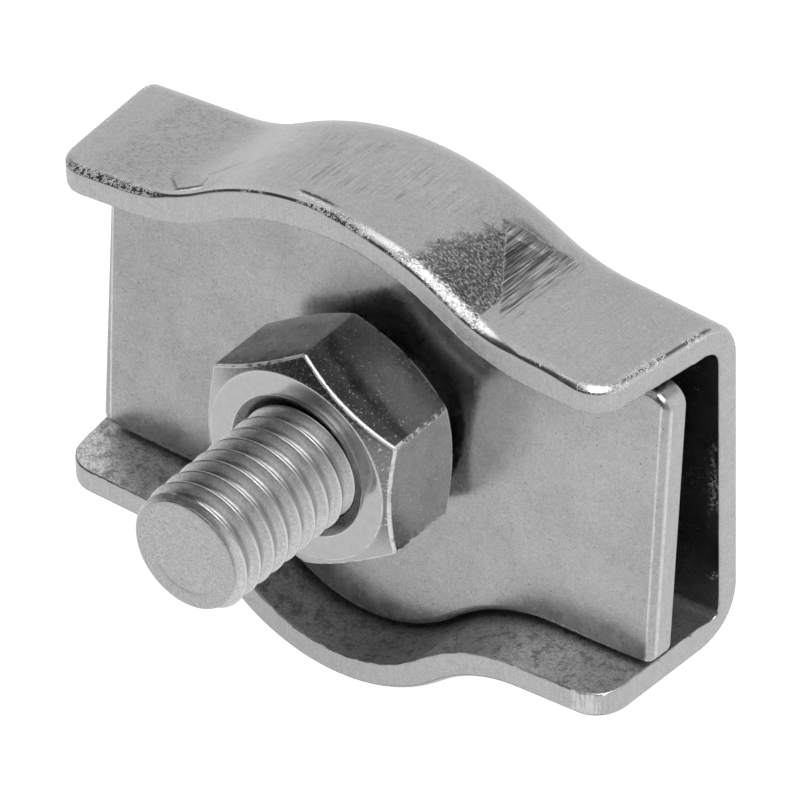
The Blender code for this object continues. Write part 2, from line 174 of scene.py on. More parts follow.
def add_turned(verts, faces, outline, sides):
    """Add an outline of (radius, y) turned about the bolt's axis."""
    rings = []
    for radius, y in outline:
        if radius < 1e-9:
            rings.append([len(verts)])
            verts.append((0, y, 0))
            continue
        rings.append(list(range(len(verts), len(verts) + sides)))
        for k in range(sides):
            angle = 2 * math.pi * k / sides
            verts.append((radius * math.cos(angle), y, radius * math.sin(angle)))
    for ring, following in zip(rings[:-1], rings[1:]):
        for k in range(sides):
            n = (k + 1) % sides
            if len(ring) == 1:
                faces.append((ring[0], following[k], following[n]))
            elif len(following) == 1:
                faces.append((ring[k], ring[n], following[0]))
            else:
                faces.append((ring[k], ring[n], following[n], following[k]))


def cut_hole(obj, cutter_name, radius, y_from, y_to, sides, sharp):
    """Cut a round hole along Y through the object."""
    verts, faces = [], []
    add_turned(verts, faces, [(0, y_from), (radius, y_from), (radius, y_to), (0, y_to)], sides)
    cutter = mesh_object(cutter_name, verts, faces)
    cut = obj.modifiers.new("cut", "BOOLEAN")
    cut.operation = "DIFFERENCE"
    cut.solver = "EXACT"
    cut.object = cutter
    bpy.context.view_layer.update()
    depsgraph = bpy.context.evaluated_depsgraph_get()
    result = bpy.data.meshes.new_from_object(obj.evaluated_get(depsgraph))
    obj.modifiers.remove(cut)
    obj.data = result
    bpy.data.objects.remove(cutter, do_unlink=True)
    smooth_shading(obj.data, sharp)


def smooth01(t):
    t = np.clip(t, 0.0, 1.0)
    return t * t * (3 - 2 * t)


def hump(x, rise, fall):
    """1 between a rise of (start, length) and a fall of (end, length), both in mm."""
    up = smooth01((x - rise[0] * MM) / (rise[1] * MM))
    return up * smooth01((fall[0] * MM - x) / (fall[1] * MM))


# ---- housing ----------------------------------------------------------------------
class Flange:
    """A flange's height over X: a crest arc, a fillet, then a line sloping to the ends."""

    def __init__(self, crest, crest_radius, fillet_radius, end, slope, flare, tip_ends):
        self.crest_radius, self.fillet_radius = crest_radius, fillet_radius
        self.end, self.slope = end, slope
        self.flare, self.tip_ends = flare, tip_ends
        # the fillet's centre lies on a line parallel to the slope, off the crest's circle
        tilt = math.atan(slope)
        self.crest_z = crest - crest_radius
        line = end + slope * TIP_HALF + fillet_radius / math.cos(tilt)
        above = line - self.crest_z
        both = crest_radius + fillet_radius
        a = 1 + slope * slope
        b = -2 * slope * above
        c = above ** 2 - both ** 2
        self.fillet_x = (-b + math.sqrt(b * b - 4 * a * c)) / (2 * a)
        self.fillet_z = line - slope * self.fillet_x
        self.arc_to = self.fillet_x * crest_radius / both
        self.line_from = self.fillet_x - fillet_radius * math.sin(tilt)

    def height(self, x):
        x = np.abs(x)
        r = self.crest_radius
        arc = self.crest_z + np.sqrt(np.maximum(r ** 2 - np.minimum(x, r) ** 2, 0))
        under = self.fillet_radius ** 2 - (x - self.fillet_x) ** 2
        fillet = self.fillet_z - np.sqrt(np.maximum(under, 0))
        line = self.end - self.slope * (x - TIP_HALF)
        return np.where(x < self.arc_to, arc, np.where(x < self.line_from, fillet, line))

    def eased_height(self, x):
        """The height with its curvature eased over about a millimetre."""
        weights = np.array([1, 3, 5, 6, 5, 3, 1], float)
        weights /= weights.sum()
        total = 0
        for k, weight in zip(range(-3, 4), weights):
            total = total + weight * self.height(x + k * 0.28 * MM)
        return total


UPPER = Flange(crest=15.68 * MM, crest_radius=16.97 * MM, fillet_radius=11.35 * MM,
               end=11.03 * MM, slope=0.070, flare=math.radians(2.3),
               tip_ends=(19.57 * MM, TIP_HALF))
LOWER = Flange(crest=16.52 * MM, crest_radius=11.40 * MM, fillet_radius=9.00 * MM,
               end=11.37 * MM, slope=0.035, flare=math.radians(3.2),
               tip_ends=(19.80 * MM, TIP_HALF))


def bend_radius(x, flange):
    """Outer radius of the bend between web and flange, larger under the upper crest."""
    if flange is LOWER:
        return BEND_BOTTOM + 0 * x
    return BEND_CREST + (BEND_TOP - BEND_CREST) * smooth01((np.abs(x) - 6 * MM) / (9 * MM))


def flange_depth(x, row, flange):
    kind, value = row
    if kind == "line":
        start = bend_radius(x, flange) * (1 - math.sin(flange.flare))
        return (DEPTH - TIP_ROUND) + (start - DEPTH + TIP_ROUND) * value
    return value + 0 * x


def roll_extra(x, depth, flange):
    """Share by which the rolled edge near the tip is wider (or tighter) than usual."""
    if flange is LOWER:
        return 0 * x
    shoulder = 1.30 * hump(x, rise=(-0.5, 4.5), fall=(13.5, 4))
    left = 0.55 * smooth01((-12.0 * MM - x) / (2.5 * MM))
    right = 0.70 * smooth01((x - 16.0 * MM) / (2 * MM))
    tight = 0.66 * hump(x, rise=(-12.5, 1.5), fall=(1.5, 3.5))
    tight = tight + 0.45 * hump(x, rise=(11.5, 2), fall=(17, 2))
    near_tip = smooth01((depth - (DEPTH - 4 * MM)) / (4 * MM))
    return (shoulder + left + right - tight) * near_tip


def dent_sides(x, tip):
    """Distances inside the front, left and right sides of the dent.

    All in mm; tip is the distance back from the flange's tip. For arrays and shader values.
    """
    front = (tip - 0.85) * 0.977 - (x + 11.3) * 0.211
    left = (x + 12.2) * 0.687 + (tip - 1.70) * 0.727
    right = (x + 9.68) * -0.967 - (tip - 1.20) * 0.255
    return front, left, right


def flake_across(x, tip):
    """Distance in mm behind the flake's slanting line, for arrays and shader values."""
    return tip - (0.98 - (x + 2.2) * 0.08)


def marks(x, depth, flange):
    """Depth of the dent, its raised lip, a crease and a flake, on the upper flange."""
    if flange is LOWER:
        return 0 * x
    x, tip = x / MM, (DEPTH - depth) / MM
    # dent: four-sided, steep at its front and ends, running out towards the back
    front, left, right = dent_sides(x, tip)
    ends = smooth01(left / 0.24) * smooth01(right / 0.16)
    dent = smooth01(front / 0.14) * ends * smooth01((2.7 - tip) / 1.3)
    front_lip = np.exp(-((front + 0.12) / 0.10) ** 2) * ends
    right_lip = np.exp(-((right + 0.12) / 0.11) ** 2)
    right_lip = right_lip * smooth01((front + 0.2) / 0.2) * smooth01((2.3 - tip) / 0.6)
    # crease from the dent towards the crest, fading out
    from_x, from_tip, run_x, run_tip = -10.2, 2.2, 3.6, 2.4
    t = ((x - from_x) * run_x + (tip - from_tip) * run_tip) / (run_x ** 2 + run_tip ** 2)
    t = np.clip(t, 0, 1.35)
    off = (x - from_x - run_x * t) ** 2 + (tip - from_tip - run_tip * t) ** 2
    crease = np.exp(-off / 0.38 ** 2) * (1.35 - t) / 1.35
    # torn flake along the edge beside the crest
    flake = np.exp(-(flake_across(x, tip) / 0.20) ** 2)
    flake = flake * smooth01((x + 2.6) / 0.7) * smooth01((1.6 - x) / 1.8)
    return (0.15 * dent - 0.07 * (front_lip + right_lip) - 0.055 * crease + 0.10 * flake) * MM


def section(x, row, flange):
    """Outer face (y, z) and unit tangent (ty, tz) towards the web's middle, for arrays x.

    A row is (kind, value): "flange" with a depth, "line" and "bend" with a share of their
    length, "web" with 0 at the bend's end and 1 at z = 0.
    """
    kind, value = row
    flare = flange.flare
    tan = math.tan(flare)
    height = flange.eased_height(x)
    radius = bend_radius(x, flange)
    start = radius * (1 - math.sin(flare))
    centre_z = height + (start - HEIGHT_AT) * tan - radius * math.cos(flare)
    if kind in ("flange", "line"):
        depth = flange_depth(x, row, flange)
        return (-depth, height + (depth - HEIGHT_AT) * tan,
                math.cos(flare) + 0 * x, -math.sin(flare) + 0 * x)
    if kind == "bend":
        angle = (math.pi / 2 - flare) * (1 - value)
        return (-radius + radius * math.cos(angle), centre_z + radius * math.sin(angle),
                math.sin(angle) + 0 * x, -math.cos(angle) + 0 * x)
    return 0 * x, centre_z * (1 - value), 0 * x, -1 + 0 * x


def thickness(x, row, flange):
    """The sheet's thickness changes in a bend whose inside is sharper than its outside."""
    kind, value = row
    if kind != "bend":
        return SHEET + 0 * x
    radius = bend_radius(x, flange)
    angle = 0.5 * math.pi * (1 - value)
    c, s = math.cos(angle), math.sin(angle)
    centre = radius - SHEET - BEND_IN
    under = centre * centre * (c + s) ** 2 - 2 * centre * centre + BEND_IN ** 2
    reach = centre * (c + s) + np.sqrt(np.maximum(under, 0))
    corner = (under >= 0) & (reach * c >= centre) & (reach * s >= centre)
    return radius - np.where(corner, reach, (radius - SHEET) / max(c, s))


def end_reach(depth, side, flange, inset):
    """How far the channel reaches towards -X (side 0) or +X (side 1), for arrays of depth."""
    depth = np.maximum(depth, 0.0)
    web, tip = WEB_ENDS[side], flange.tip_ends[side]
    full = web + (tip - web) * depth / DEPTH - inset
    r = TIP_ROUND - inset
    into = np.clip(depth - (DEPTH - TIP_ROUND), 0, r)
    return full - (r - np.sqrt(r * r - into * into))


def sheet_stations(inset):
    """(row, flange, sign of z) from the upper tip round the web to the lower tip."""
    r = TIP_ROUND - inset
    rows = [("flange", DEPTH - TIP_ROUND + r * math.cos(0.5 * math.pi * k / TIP_ROWS))
            for k in range(TIP_ROWS + 1)]
    for kind, count in (("line", LINE_ROWS), ("bend", BEND_ROWS), ("web", WEB_ROWS)):
        rows += [(kind, k / count) for k in range(1, count + 1)]
    return [(row, UPPER, 1) for row in rows] + [(row, LOWER, -1) for row in rows[::-1][1:]]


def outward_normal(x, row, flange, ty, tz):
    if row[0] == "web":
        # the web is flat, so its normal is +Y whatever the height does
        return 0 * x, 1 + 0 * x, 0 * x
    step = 0.02 * MM
    y1, z1, _, _ = section(x + step, row, flange)
    y0, z0, _, _ = section(x - step, row, flange)
    ax, ay, az = 2 * step, y1 - y0, z1 - z0
    nx, ny, nz = ay * tz - az * ty, -ax * tz, ax * ty
    length = np.sqrt(nx ** 2 + ny ** 2 + nz ** 2) * np.sign(0.3 * ny + nz)
    return nx / length, ny / length, nz / length


def sheet_points(inset, depth_in, rolled):
    """Grid of the sheet's surface at depth_in under its outer face, drawn in by inset."""
    # columns crowd a little towards the ends
    t = np.sin(np.linspace(-1, 1, COLS + 1) * 1.2) / math.sin(1.2)
    guess = WEB_ENDS[1] * t
    grid = []
    for row, flange, sign in sheet_stations(inset):
        on_flange = row[0] in ("flange", "line")
        if on_flange:
            depth = flange_depth(guess, row, flange)
        else:
            depth = -section(guess, row, flange)[0]
        reach = [end_reach(depth, side, flange, inset) for side in (0, 1)]
        x = np.where(t < 0, *reach) * t
        deep, grow, drawn = depth_in, 0 * x, row
        if on_flange:
            depth = flange_depth(x, row, flange)
            more = roll_extra(x, depth, flange)
            depth = depth - more * inset
            if rolled:
                deep = depth_in * (1 + np.where(more > 0, 0.45, 0.75) * more)
            drawn = ("flange", depth)
            # the marks fade out below the outer face
            grow = marks(x, depth, flange) * max(0.0, 1 - depth_in / (0.9 * MM))
        y, z, ty, tz = section(x, drawn, flange)
        nx, ny, nz = outward_normal(x, drawn, flange, ty, tz)
        deep = deep * thickness(x, row, flange) / SHEET + grow
        grid.append(np.stack([x - nx * deep, y - ny * deep, (z - nz * deep) * sign], -1))
    return np.array(grid)


def edge_profile():
    """(inset, depth, rolled) over the rolled edge, down the sheared face, to the inner face."""
    corner = EDGE_CORNER
    points = [(ROLL + (corner - ROLL) * (k / 8), DROP * (k / 8) * (k / 8), True)
              for k in range(9)]
    points += [(0.3 * corner, DROP + 0.8 * corner, True), (0.0, DROP + 2.2 * corner, True)]
    points += [(0.0, d * MM, False) for d in (0.85, 1.05, 1.25, 1.45, 1.62)]
    return points + [(i * MM, d * MM, False) for i, d in ((0.02, 1.72), (0.05, 1.77), (0.11, 1.80))]


def grid_border(rows, cols):
    """Indices round the border of a grid."""
    border = list(range(cols)) + [r * cols + cols - 1 for r in range(1, rows)]
    border += [(rows - 1) * cols + c for c in range(cols - 2, -1, -1)]
    return border + [r * cols for r in range(rows - 2, 0, -1)]


def roughen_burr(verts, ring):
    """The burr where the sheared face meets the inner face wanders by a few hundredths."""
    for k, i in enumerate(ring):
        x, y, z = verts[i]
        wave = (0.022 * math.sin(k * 0.83) + 0.018 * math.sin(k * 2.17 + 1)
                + 0.014 * math.sin(k * 0.31 + 2))
        verts[i] = (x * (1 + wave * MM / 0.020), y - wave * MM * 0.8, z)


def make_housing(materials):
    grids = [sheet_points(*point) for point in edge_profile()]
    rows, cols = grids[0].shape[:2]
    border = grid_border(rows, cols)
    outer = grids[0].reshape(-1, 3).tolist()
    verts = outer + grids[-1].reshape(-1, 3).tolist()
    inner_start = len(outer)
    faces, slots = [], []
    for r in range(rows - 1):
        for c in range(cols - 1):
            a = r * cols + c
            faces.append((a, a + 1, a + cols + 1, a + cols))
            a += inner_start
            faces.append((a, a + cols, a + cols + 1, a + 1))
            slots += [0, 0]
    rings = [border]
    for grid in grids[1:-1]:
        start = len(verts)
        verts += grid.reshape(-1, 3)[border].tolist()
        rings.append(list(range(start, start + len(border))))
    rings.append([inner_start + i for i in border])
    roughen_burr(verts, rings[-3])
    for level, (a, b) in enumerate(zip(rings[:-1], rings[1:])):
        for i in range(len(a)):
            j = (i + 1) % len(a)
            faces.append((a[i], b[i], b[j], a[j]))
            slots.append(1 if level >= SHEARED_FROM else 0)
    obj = mesh_object("housing_sheet", verts, faces, materials, sharp=50, slots=slots)
    cut_hole(obj, "hole_cutter", BOLT_HOLE, y_from=1 * MM, y_to=-3 * MM, sides=96, sharp=50)
    return obj


# ---- bolt -------------------------------------------------------------------------
def thread_profile(u, widen=0.0):
    """Height above ROOT_R over one pitch, crest at u = 0, with a broad round root."""
    height = CREST_R - ROOT_R
    flat_half = CREST_HALF * 0.5
    from_crest = np.abs((u + 0.5) % 1.0 - 0.5) * PITCH
    from_crest = np.maximum(from_crest - widen, 0.0)
    t = np.clip(1 - (from_crest - flat_half) / (PITCH / 2 - flat_half), 0.0, 1.0)
    rise = height * t ** 1.85
    # a soft minimum rounds the crest
    softness = 0.045 * MM
    top = height - 0.004 * MM
    return 0.5 * (rise + top - np.sqrt((rise - top) ** 2 + softness * softness))


def thread_point(y, u, shank_y):
    """Radius and y of a thread point, run out into the shank and cut by the tip's chamfer."""
    if y < BOLT_END:
        return BOLT_TIP_R, BOLT_END
    if y > shank_y:
        return SHANK_R, shank_y
    radius = ROOT_R + float(thread_profile(np.array(u - 0.5)))
    into_shank = (y - (THREAD_TO - 1.2 * MM)) / (1.6 * MM)
    if into_shank > 0:
        share = float(smooth01(into_shank))
        radius = radius * (1 - share) + SHANK_R * share
    return min(radius, BOLT_TIP_R + (y - BOLT_END)), y


def make_bolt(material):
    """Threaded rod; the mesh rows follow the helix, so each crest is one line of the mesh."""
    steps, samples = THREAD_TURN_STEPS, THREAD_PITCH_STEPS
    shank_y = THREAD_TO + 1.0 * MM
    turns = int(math.ceil((shank_y - BOLT_END) / PITCH)) + 2
    first = math.floor((THREAD_Y0 - shank_y) / PITCH) - 1
    verts, faces = [], []
    row_count = turns * steps + steps + 1
    for m in range(row_count):
        angle = 2 * math.pi * m / steps
        for c in range(samples + 1):
            u = c / samples
            y = THREAD_Y0 - PITCH * (first + m / steps) + PITCH * (0.5 - u)
            radius, y = thread_point(y, u, shank_y)
            verts.append((radius * math.cos(angle), y, radius * math.sin(angle)))
    for m in range(row_count - 1):
        for c in range(samples):
            a = m * (samples + 1) + c
            b = a + samples + 1
            faces.append((a, b, b + 1, a + 1))
    # end face: a very shallow dish with a raised lip
    dish = [(radius * MM, BOLT_END - out * MM) for radius, out in BOLT_END_DISH]
    add_turned(verts, faces, [(BOLT_TIP_R, BOLT_END)] + dish, steps)
    # shank up into the head
    top = UNDER_HEAD + 0.4 * MM
    shank = [(SHANK_R, shank_y), (SHANK_R, -1.0 * MM), (SHANK_R, top), (0, top)]
    add_turned(verts, faces, shank, steps)
    return mesh_object("bolt_m8", verts, faces, (material,), sharp=60, merge=0.0004 * MM)


# ---- hexagons: the bolt's head and the nut ------------------------------------------
def hex_angles(turn):
    """Angles that crowd at the six corners, and the rounded hexagon's radius at each."""
    half = ACROSS_FLATS / 2
    angles = []
    for side in range(6):
        base = turn + math.pi / 2 + side * math.pi / 3
        for k in range(HEX_STEPS):
            u = k / HEX_STEPS
            crowded = u - math.sin(2 * math.pi * u) / (2 * math.pi) * 0.90
            angles.append(base + crowded * math.pi / 3)
    r = HEX_CORNER_R
    centre = (half - r) / math.cos(math.pi / 6)
    tangent = math.atan2(r * math.sin(math.pi / 6), centre + r * math.cos(math.pi / 6))
    reach = []
    for angle in angles:
        # 0 at a corner, 30 degrees at a flat's middle
        from_corner = (angle - turn - math.pi / 2) % (math.pi / 3)
        from_corner = min(from_corner, math.pi / 3 - from_corner)
        if from_corner < tangent:
            under = r ** 2 - (centre * math.sin(from_corner)) ** 2
            reach.append(centre * math.cos(from_corner) + math.sqrt(max(under, 0)))
        else:
            reach.append(half / math.cos(math.pi / 6 - from_corner))
    return np.array(angles), np.array(reach)


def chamfered_face(face, toward, reach, inner, rim):
    """Rows (radius, y, slot) from inside a face out over its 30 degree chamfer to the flats.

    toward is the sign of y from the face into the part, rim the size of the worn edge.
    """
    chamfer, soft = NUT_CHAMFER_R, 0.08 * MM
    rows = [(inner + (chamfer - soft - inner) * k / 6, face, FACE) for k in range(7)]
    for k in range(1, 4):
        t = k / 3
        rows.append((chamfer - soft + 2 * soft * t, face + toward * soft * TAN30 * t * t,
                     WEAR_AND_HIGHLIGHT if k == 2 else FACE))
    span = np.maximum(reach - rim - chamfer - soft, 0.0)
    for share in (0.3, 0.65):
        radius = chamfer + soft + span * share
        rows.append((radius, face + toward * (radius - chamfer) * TAN30, CONE))
    edge_y = face + toward * np.maximum(reach - chamfer, 0) * TAN30
    for k in range(6):
        t = k / 5
        a, b, c = (1 - t) ** 2, 2 * t * (1 - t), t * t
        radius = a * (reach - rim) + b * reach + c * reach
        y = a * (edge_y - toward * rim * TAN30) + b * edge_y + c * (edge_y + toward * rim)
        rows.append((radius, y, CONE if k == 0 else WEAR_AND_HIGHLIGHT))
    return rows


def skin(name, rows, angles, materials, closed, caps=()):
    """A surface over rows of (radius, y, slot); a row's slot is that of the strip leading to it.

    closed joins the last row to the first; caps are (row, y) of end faces.
    """
    n = len(angles)
    verts, faces, slots = [], [], []
    for radii, ys, _ in rows:
        verts += [(r * math.cos(a), y, r * math.sin(a))
                  for r, y, a in zip(np.broadcast_to(radii, n), np.broadcast_to(ys, n), angles)]
    count = len(rows)
    for p in range(count if closed else count - 1):
        q = (p + 1) % count
        for i in range(n):
            j = (i + 1) % n
            faces.append((p * n + i, p * n + j, q * n + j, q * n + i))
            slots.append(rows[q][2])
    for p, y in caps:
        centre = len(verts)
        verts.append((0, y, 0))
        for i in range(n):
            faces.append((p * n + i, p * n + (i + 1) % n, centre))
            slots.append(FACE)
    return mesh_object(name, verts, faces, materials, sharp=45, slots=slots)


def make_head(materials):
    angles, reach = hex_angles(HEAD_TURN)
    back, front, edge = HEAD_END, UNDER_HEAD, 0.10 * MM
    rows = chamfered_face(back, -1, reach, inner=0.3 * MM, rim=0.10 * MM)
    rows += [(reach, back + (front - back) * f, FLATS) for f in (0.3, 0.5, 0.7)]
    rows += [(reach, front + edge, FLATS), (reach - edge * 0.3, front + edge * 0.3, WEAR_AND_HIGHLIGHT),
             (reach - edge, front, WEAR_AND_HIGHLIGHT)]
    rows += [((reach - edge) * (1 - k / 4), front, FACE) for k in range(1, 4)]
    caps = ((0, back), (len(rows) - 1, front))
    return skin("bolt_head", rows, angles, materials, closed=False, caps=caps)


def bore_rows(angles, back, front):
    """Threaded bore from back to front, with a countersink at each mouth."""
    rows = []
    for k in range(BORE_STEPS + 1):
        y = back + (front - back) * k / BORE_STEPS
        u = (THREAD_Y0 - y) / PITCH - angles / (2 * math.pi)
        thread = ROOT_R + BORE_CLEARANCE + thread_profile(u, widen=0.07 * MM)
        sink = NUT_SINK_R - min(back - y, y - front) / TAN30
        # the two mouths sit just inside the turned faces
        if k in (0, BORE_STEPS):
            sink = NUT_SINK_R - 0.01 * MM
            y += 0.02 * MM if k else -0.02 * MM
        rows.append((np.maximum(thread, sink), y, BORE))
    return rows


def make_nut(materials):
    """One closed skin: front face, chamfer, flats, chamfer, back face and threaded bore."""
    angles, reach = hex_angles(NUT_TURN)
    back, front = NUT_BACK, NUT_BACK - NUT_HEIGHT
    inner, rim = NUT_SINK_R + 0.05 * MM, 0.15 * MM
    rows = chamfered_face(front, 1, reach, inner, rim)
    rows += [(reach, front + (back - front) * f, FLATS) for f in (0.3, 0.5, 0.7)]
    last = chamfered_face(back, -1, reach, inner, rim)[::-1]
    # a strip takes the slot of the row it leads to, so the mirrored rows pass theirs on
    carried = [FLATS] + [row[2] for row in last[:-1]]
    rows += [(radius, y, slot) for (radius, y, _), slot in zip(last, carried)]
    rows += bore_rows(angles, back, front)
    rows[0] = (rows[0][0], rows[0][1], WEAR_AND_HIGHLIGHT)
    return skin("nut_m8", rows, angles, materials, closed=True)


# ---- pressure plate ---------------------------------------------------------------
def inside_curve(flange, clearance):
    """The plate's edge (x, z), held off the inside of a flange."""
    x = np.linspace(-WEB_ENDS[1] * 1.1, WEB_ENDS[1] * 1.1, 401)
    step = 0.01 * MM
    slope = (flange.height(x + step) - flange.height(x - step)) / (2 * step)
    length = np.sqrt(1 + slope ** 2)
    off = SHEET + clearance
    edge_x = x + slope / length * off
    edge_z = flange.height(x) + PLATE_LIFT - off / length
    order = np.argsort(edge_x)
    return edge_x[order], edge_z[order]


def corner_points(x, z, radius, start, steps):
    """Points of a quarter circle about (x, z), from start degrees."""
    angles = [math.radians(start + 90 * k / CORNER_STEPS) for k in steps]
    return [(x + radius * math.cos(a), z + radius * math.sin(a)) for a in angles]


def plate_outline():
    """Outline in (x, z): along the bottom to +X, up, back along the top and down."""
    top = inside_curve(UPPER, PLATE_GAP_TOP)
    bottom = inside_curve(LOWER, PLATE_GAP_BOTTOM)
    r, low_r = PLATE_CORNER, PLATE_LOW_CORNER
    inner, low_inner = PLATE_HALF - r, PLATE_HALF - low_r
    early, late = range(CORNER_STEPS), range(1, CORNER_STEPS + 1)
    line = []
    for x in np.linspace(-low_inner, low_inner, PLATE_STEPS + 1):
        drop = 0.12 * MM * float(smooth01((x - 12 * MM) / (5 * MM)))
        line.append((x, -float(np.interp(x + PLATE_SHIFT, *bottom)) - drop))
    left_low, right_low = line[0][1] + low_r, line[-1][1] + low_r
    crown = [(x, float(np.interp(x + PLATE_SHIFT, *top)))
             for x in np.linspace(-inner, inner, PLATE_STEPS + 1)[::-1]]
    right_high, left_high = crown[0][1] - r, crown[-1][1] - r
    line += corner_points(low_inner, right_low, low_r, -90, late)
    line += [(PLATE_HALF, z) for z in np.linspace(right_low, right_high, PLATE_END_STEPS)[1:-1]]
    line += corner_points(inner, right_high, r, 0, early)
    line += crown
    line += corner_points(-inner, left_high, r, 90, late)
    line += [(-PLATE_HALF, z) for z in np.linspace(left_high, left_low, PLATE_END_STEPS)[1:-1]]
    line += corner_points(-low_inner, left_low, low_r, 180, early)
    line = np.array(line)
    line[:, 0] += PLATE_SKEW * line[:, 1] * np.abs(line[:, 0] / PLATE_HALF) ** 4
    return line


def inset_loop(loop, amount):
    along = np.roll(loop, -1, axis=0) - np.roll(loop, 1, axis=0)
    along /= np.linalg.norm(along, axis=1)[:, None]
    return loop + np.stack([-along[:, 1], along[:, 0]], -1) * amount


def make_plate(materials):
    outline = plate_outline()
    n = len(outline)
    # (y, inset) from the back face with its burr to the rolled front edge
    levels = [(SHEET, 0.07 * MM), (SHEET - 0.03 * MM, 0.02 * MM), (SHEET - 0.08 * MM, 0.0),
              (1.5 * MM, 0.0), (1.2 * MM, 0.0), (0.9 * MM, 0.0), (PLATE_ROLL, 0.0)]
    sheared = len(levels) - 1
    for k in range(1, 11):
        a = 0.5 * math.pi * k / 10
        levels.append((PLATE_ROLL * (1 - math.sin(a)), PLATE_ROLL * (1 - math.cos(a))))
    verts, faces, slots = [], [], []
    for y, amount in levels:
        verts += [(x, y, z) for x, z in inset_loop(outline, amount)]
    for level in range(len(levels) - 1):
        a, b = level * n, (level + 1) * n
        for i in range(n):
            j = (i + 1) % n
            faces.append((a + i, a + j, b + j, b + i))
            slots.append(1 if level < sheared else 0)
    faces += [tuple(range(n)), tuple(range(len(verts) - n, len(verts)))]
    slots += [0, 0]
    x, y, z = np.array(verts).T
    c, s = math.cos(-PLATE_LEAN), math.sin(-PLATE_LEAN)
    leaned = np.stack([x + PLATE_SHIFT, y * c - z * s + PLATE_FRONT, y * s + z * c], -1)
    obj = mesh_object("plate_sheet", leaned, faces, materials, sharp=35, slots=slots)
    cut_hole(obj, "plate_hole", PLATE_HOLE, y_from=-4 * MM, y_to=-10 * MM, sides=128, sharp=35)
    return obj


# ---- shader helpers ---------------------------------------------------------------
class Value:
    """An output socket; arithmetic on it adds math nodes to its tree."""

    def __init__(self, socket):
        self.socket = socket
        self.tree = socket.id_data

    def __add__(self, other):
        return calculate("ADD", self, other)

    def __radd__(self, other):
        return calculate("ADD", other, self)

    def __sub__(self, other):
        return calculate("SUBTRACT", self, other)

    def __rsub__(self, other):
        return calculate("SUBTRACT", other, self)

    def __mul__(self, other):
        return calculate("MULTIPLY", self, other)

    def __truediv__(self, other):
        return calculate("DIVIDE", self, other)

    def __abs__(self):
        return calculate("ABSOLUTE", self)


def feed(node, name, value):
    """Link a Value to an input, or set the input to a plain value."""
    if isinstance(value, Value):
        value.tree.links.new(value.socket, node.inputs[name])
    else:
        node.inputs[name].default_value = value


def add_node(tree, kind, inputs=None, **settings):
    node = tree.nodes.new(kind)
    for name, setting in settings.items():
        setattr(node, name, setting)
    for name, value in (inputs or {}).items():
        feed(node, name, value)
    return node


def calculate(operation, *terms):
    tree = next(term.tree for term in terms if isinstance(term, Value))
    node = add_node(tree, "ShaderNodeMath", dict(enumerate(terms)), operation=operation)
    return Value(node.outputs[0])


def most(a, b):
    return calculate("MAXIMUM", a, b)


def least(a, b):
    return calculate("MINIMUM", a, b)


def blend(base, other, where):
    """base where the mask is 0, other where it is 1."""
    node = add_node(where.tree, "ShaderNodeMix", {0: where, 2: base, 3: other}, data_type="FLOAT")
    return Value(node.outputs[0])


def layered(base, *layers):
    """Lay (mask, value) pairs over the base, in order."""
    for mask, value in layers:
        base = blend(base, value, where=mask)
    return base


def ramp(value, over, to=(0.0, 1.0)):
    """Smooth step while the value runs over a span, either way."""
    inputs = {"Value": value, "From Min": over[0], "From Max": over[1],
              "To Min": to[0], "To Max": to[1]}
    node = add_node(value.tree, "ShaderNodeMapRange", inputs, interpolation_type="SMOOTHSTEP")
    return Value(node.outputs["Result"])


def window(value, rise, fall):
    """0 outside, rising to 1 over one span and falling again over another."""
    return ramp(value, over=rise) * ramp(value, over=fall[::-1])


def swing(texture, by):
    """A 0 to 1 texture made to swing about zero."""
    return (texture - 0.5) * by


def noise(place, scale, detail=4.0, rough=0.5):
    inputs = {"Vector": place, "Scale": scale, "Detail": detail, "Roughness": rough}
    return Value(add_node(place.tree, "ShaderNodeTexNoise", inputs).outputs["Fac"])


def mapped(place, **inputs):
    node = add_node(place.tree, "ShaderNodeMapping", {"Vector": place, **inputs})
    return Value(node.outputs[0])


def streaks(place, scale, detail, rough, turn=(0, 0, 0)):
    """Noise with its own scale along each axis."""
    stretched = mapped(place, Scale=scale, Rotation=turn)
    return noise(stretched, scale=1.0, detail=detail, rough=rough)


def parts(vector):
    node = add_node(vector.tree, "ShaderNodeSeparateXYZ", {0: vector})
    return [Value(socket) for socket in node.outputs]


def flat(u, v):
    node = add_node(u.tree, "ShaderNodeCombineXYZ", {0: u, 1: v})
    return Value(node.outputs[0])


def axis_radius(x, z):
    return calculate("SQRT", x * x + z * z)


def specks(uv, scale, share, size, long=1.0, angle=0.0, shift=0.0):
    """Scattered dots, or scratches when long > 1, of about size mm.

    scale is cells per mm; share of the cells hold one.
    """
    cells = mapped(mapped(uv, Scale=(1, 1, 1), Rotation=(0, 0, angle)),
                   Location=(shift, shift * 0.7, 0), Scale=(scale / long, scale, 1))
    voronoi = add_node(uv.tree, "ShaderNodeTexVoronoi", {"Vector": cells, "Scale": 1.0},
                       voronoi_dimensions="2D")
    cell = add_node(uv.tree, "ShaderNodeSeparateColor", {0: Value(voronoi.outputs["Color"])})
    here = calculate("LESS_THAN", Value(cell.outputs[0]), share)
    radius = (Value(cell.outputs[1]) + 0.35) * (size * scale)
    relative = Value(voronoi.outputs["Distance"]) / radius
    return ramp(relative, over=(1.15, 0.55)) * here


def bump(surface_height, distance, strength=1.0, normal=None):
    inputs = {"Strength": strength, "Distance": distance, "Height": surface_height}
    if normal is not None:
        inputs["Normal"] = normal
    return Value(add_node(surface_height.tree, "ShaderNodeBump", inputs).outputs[0])


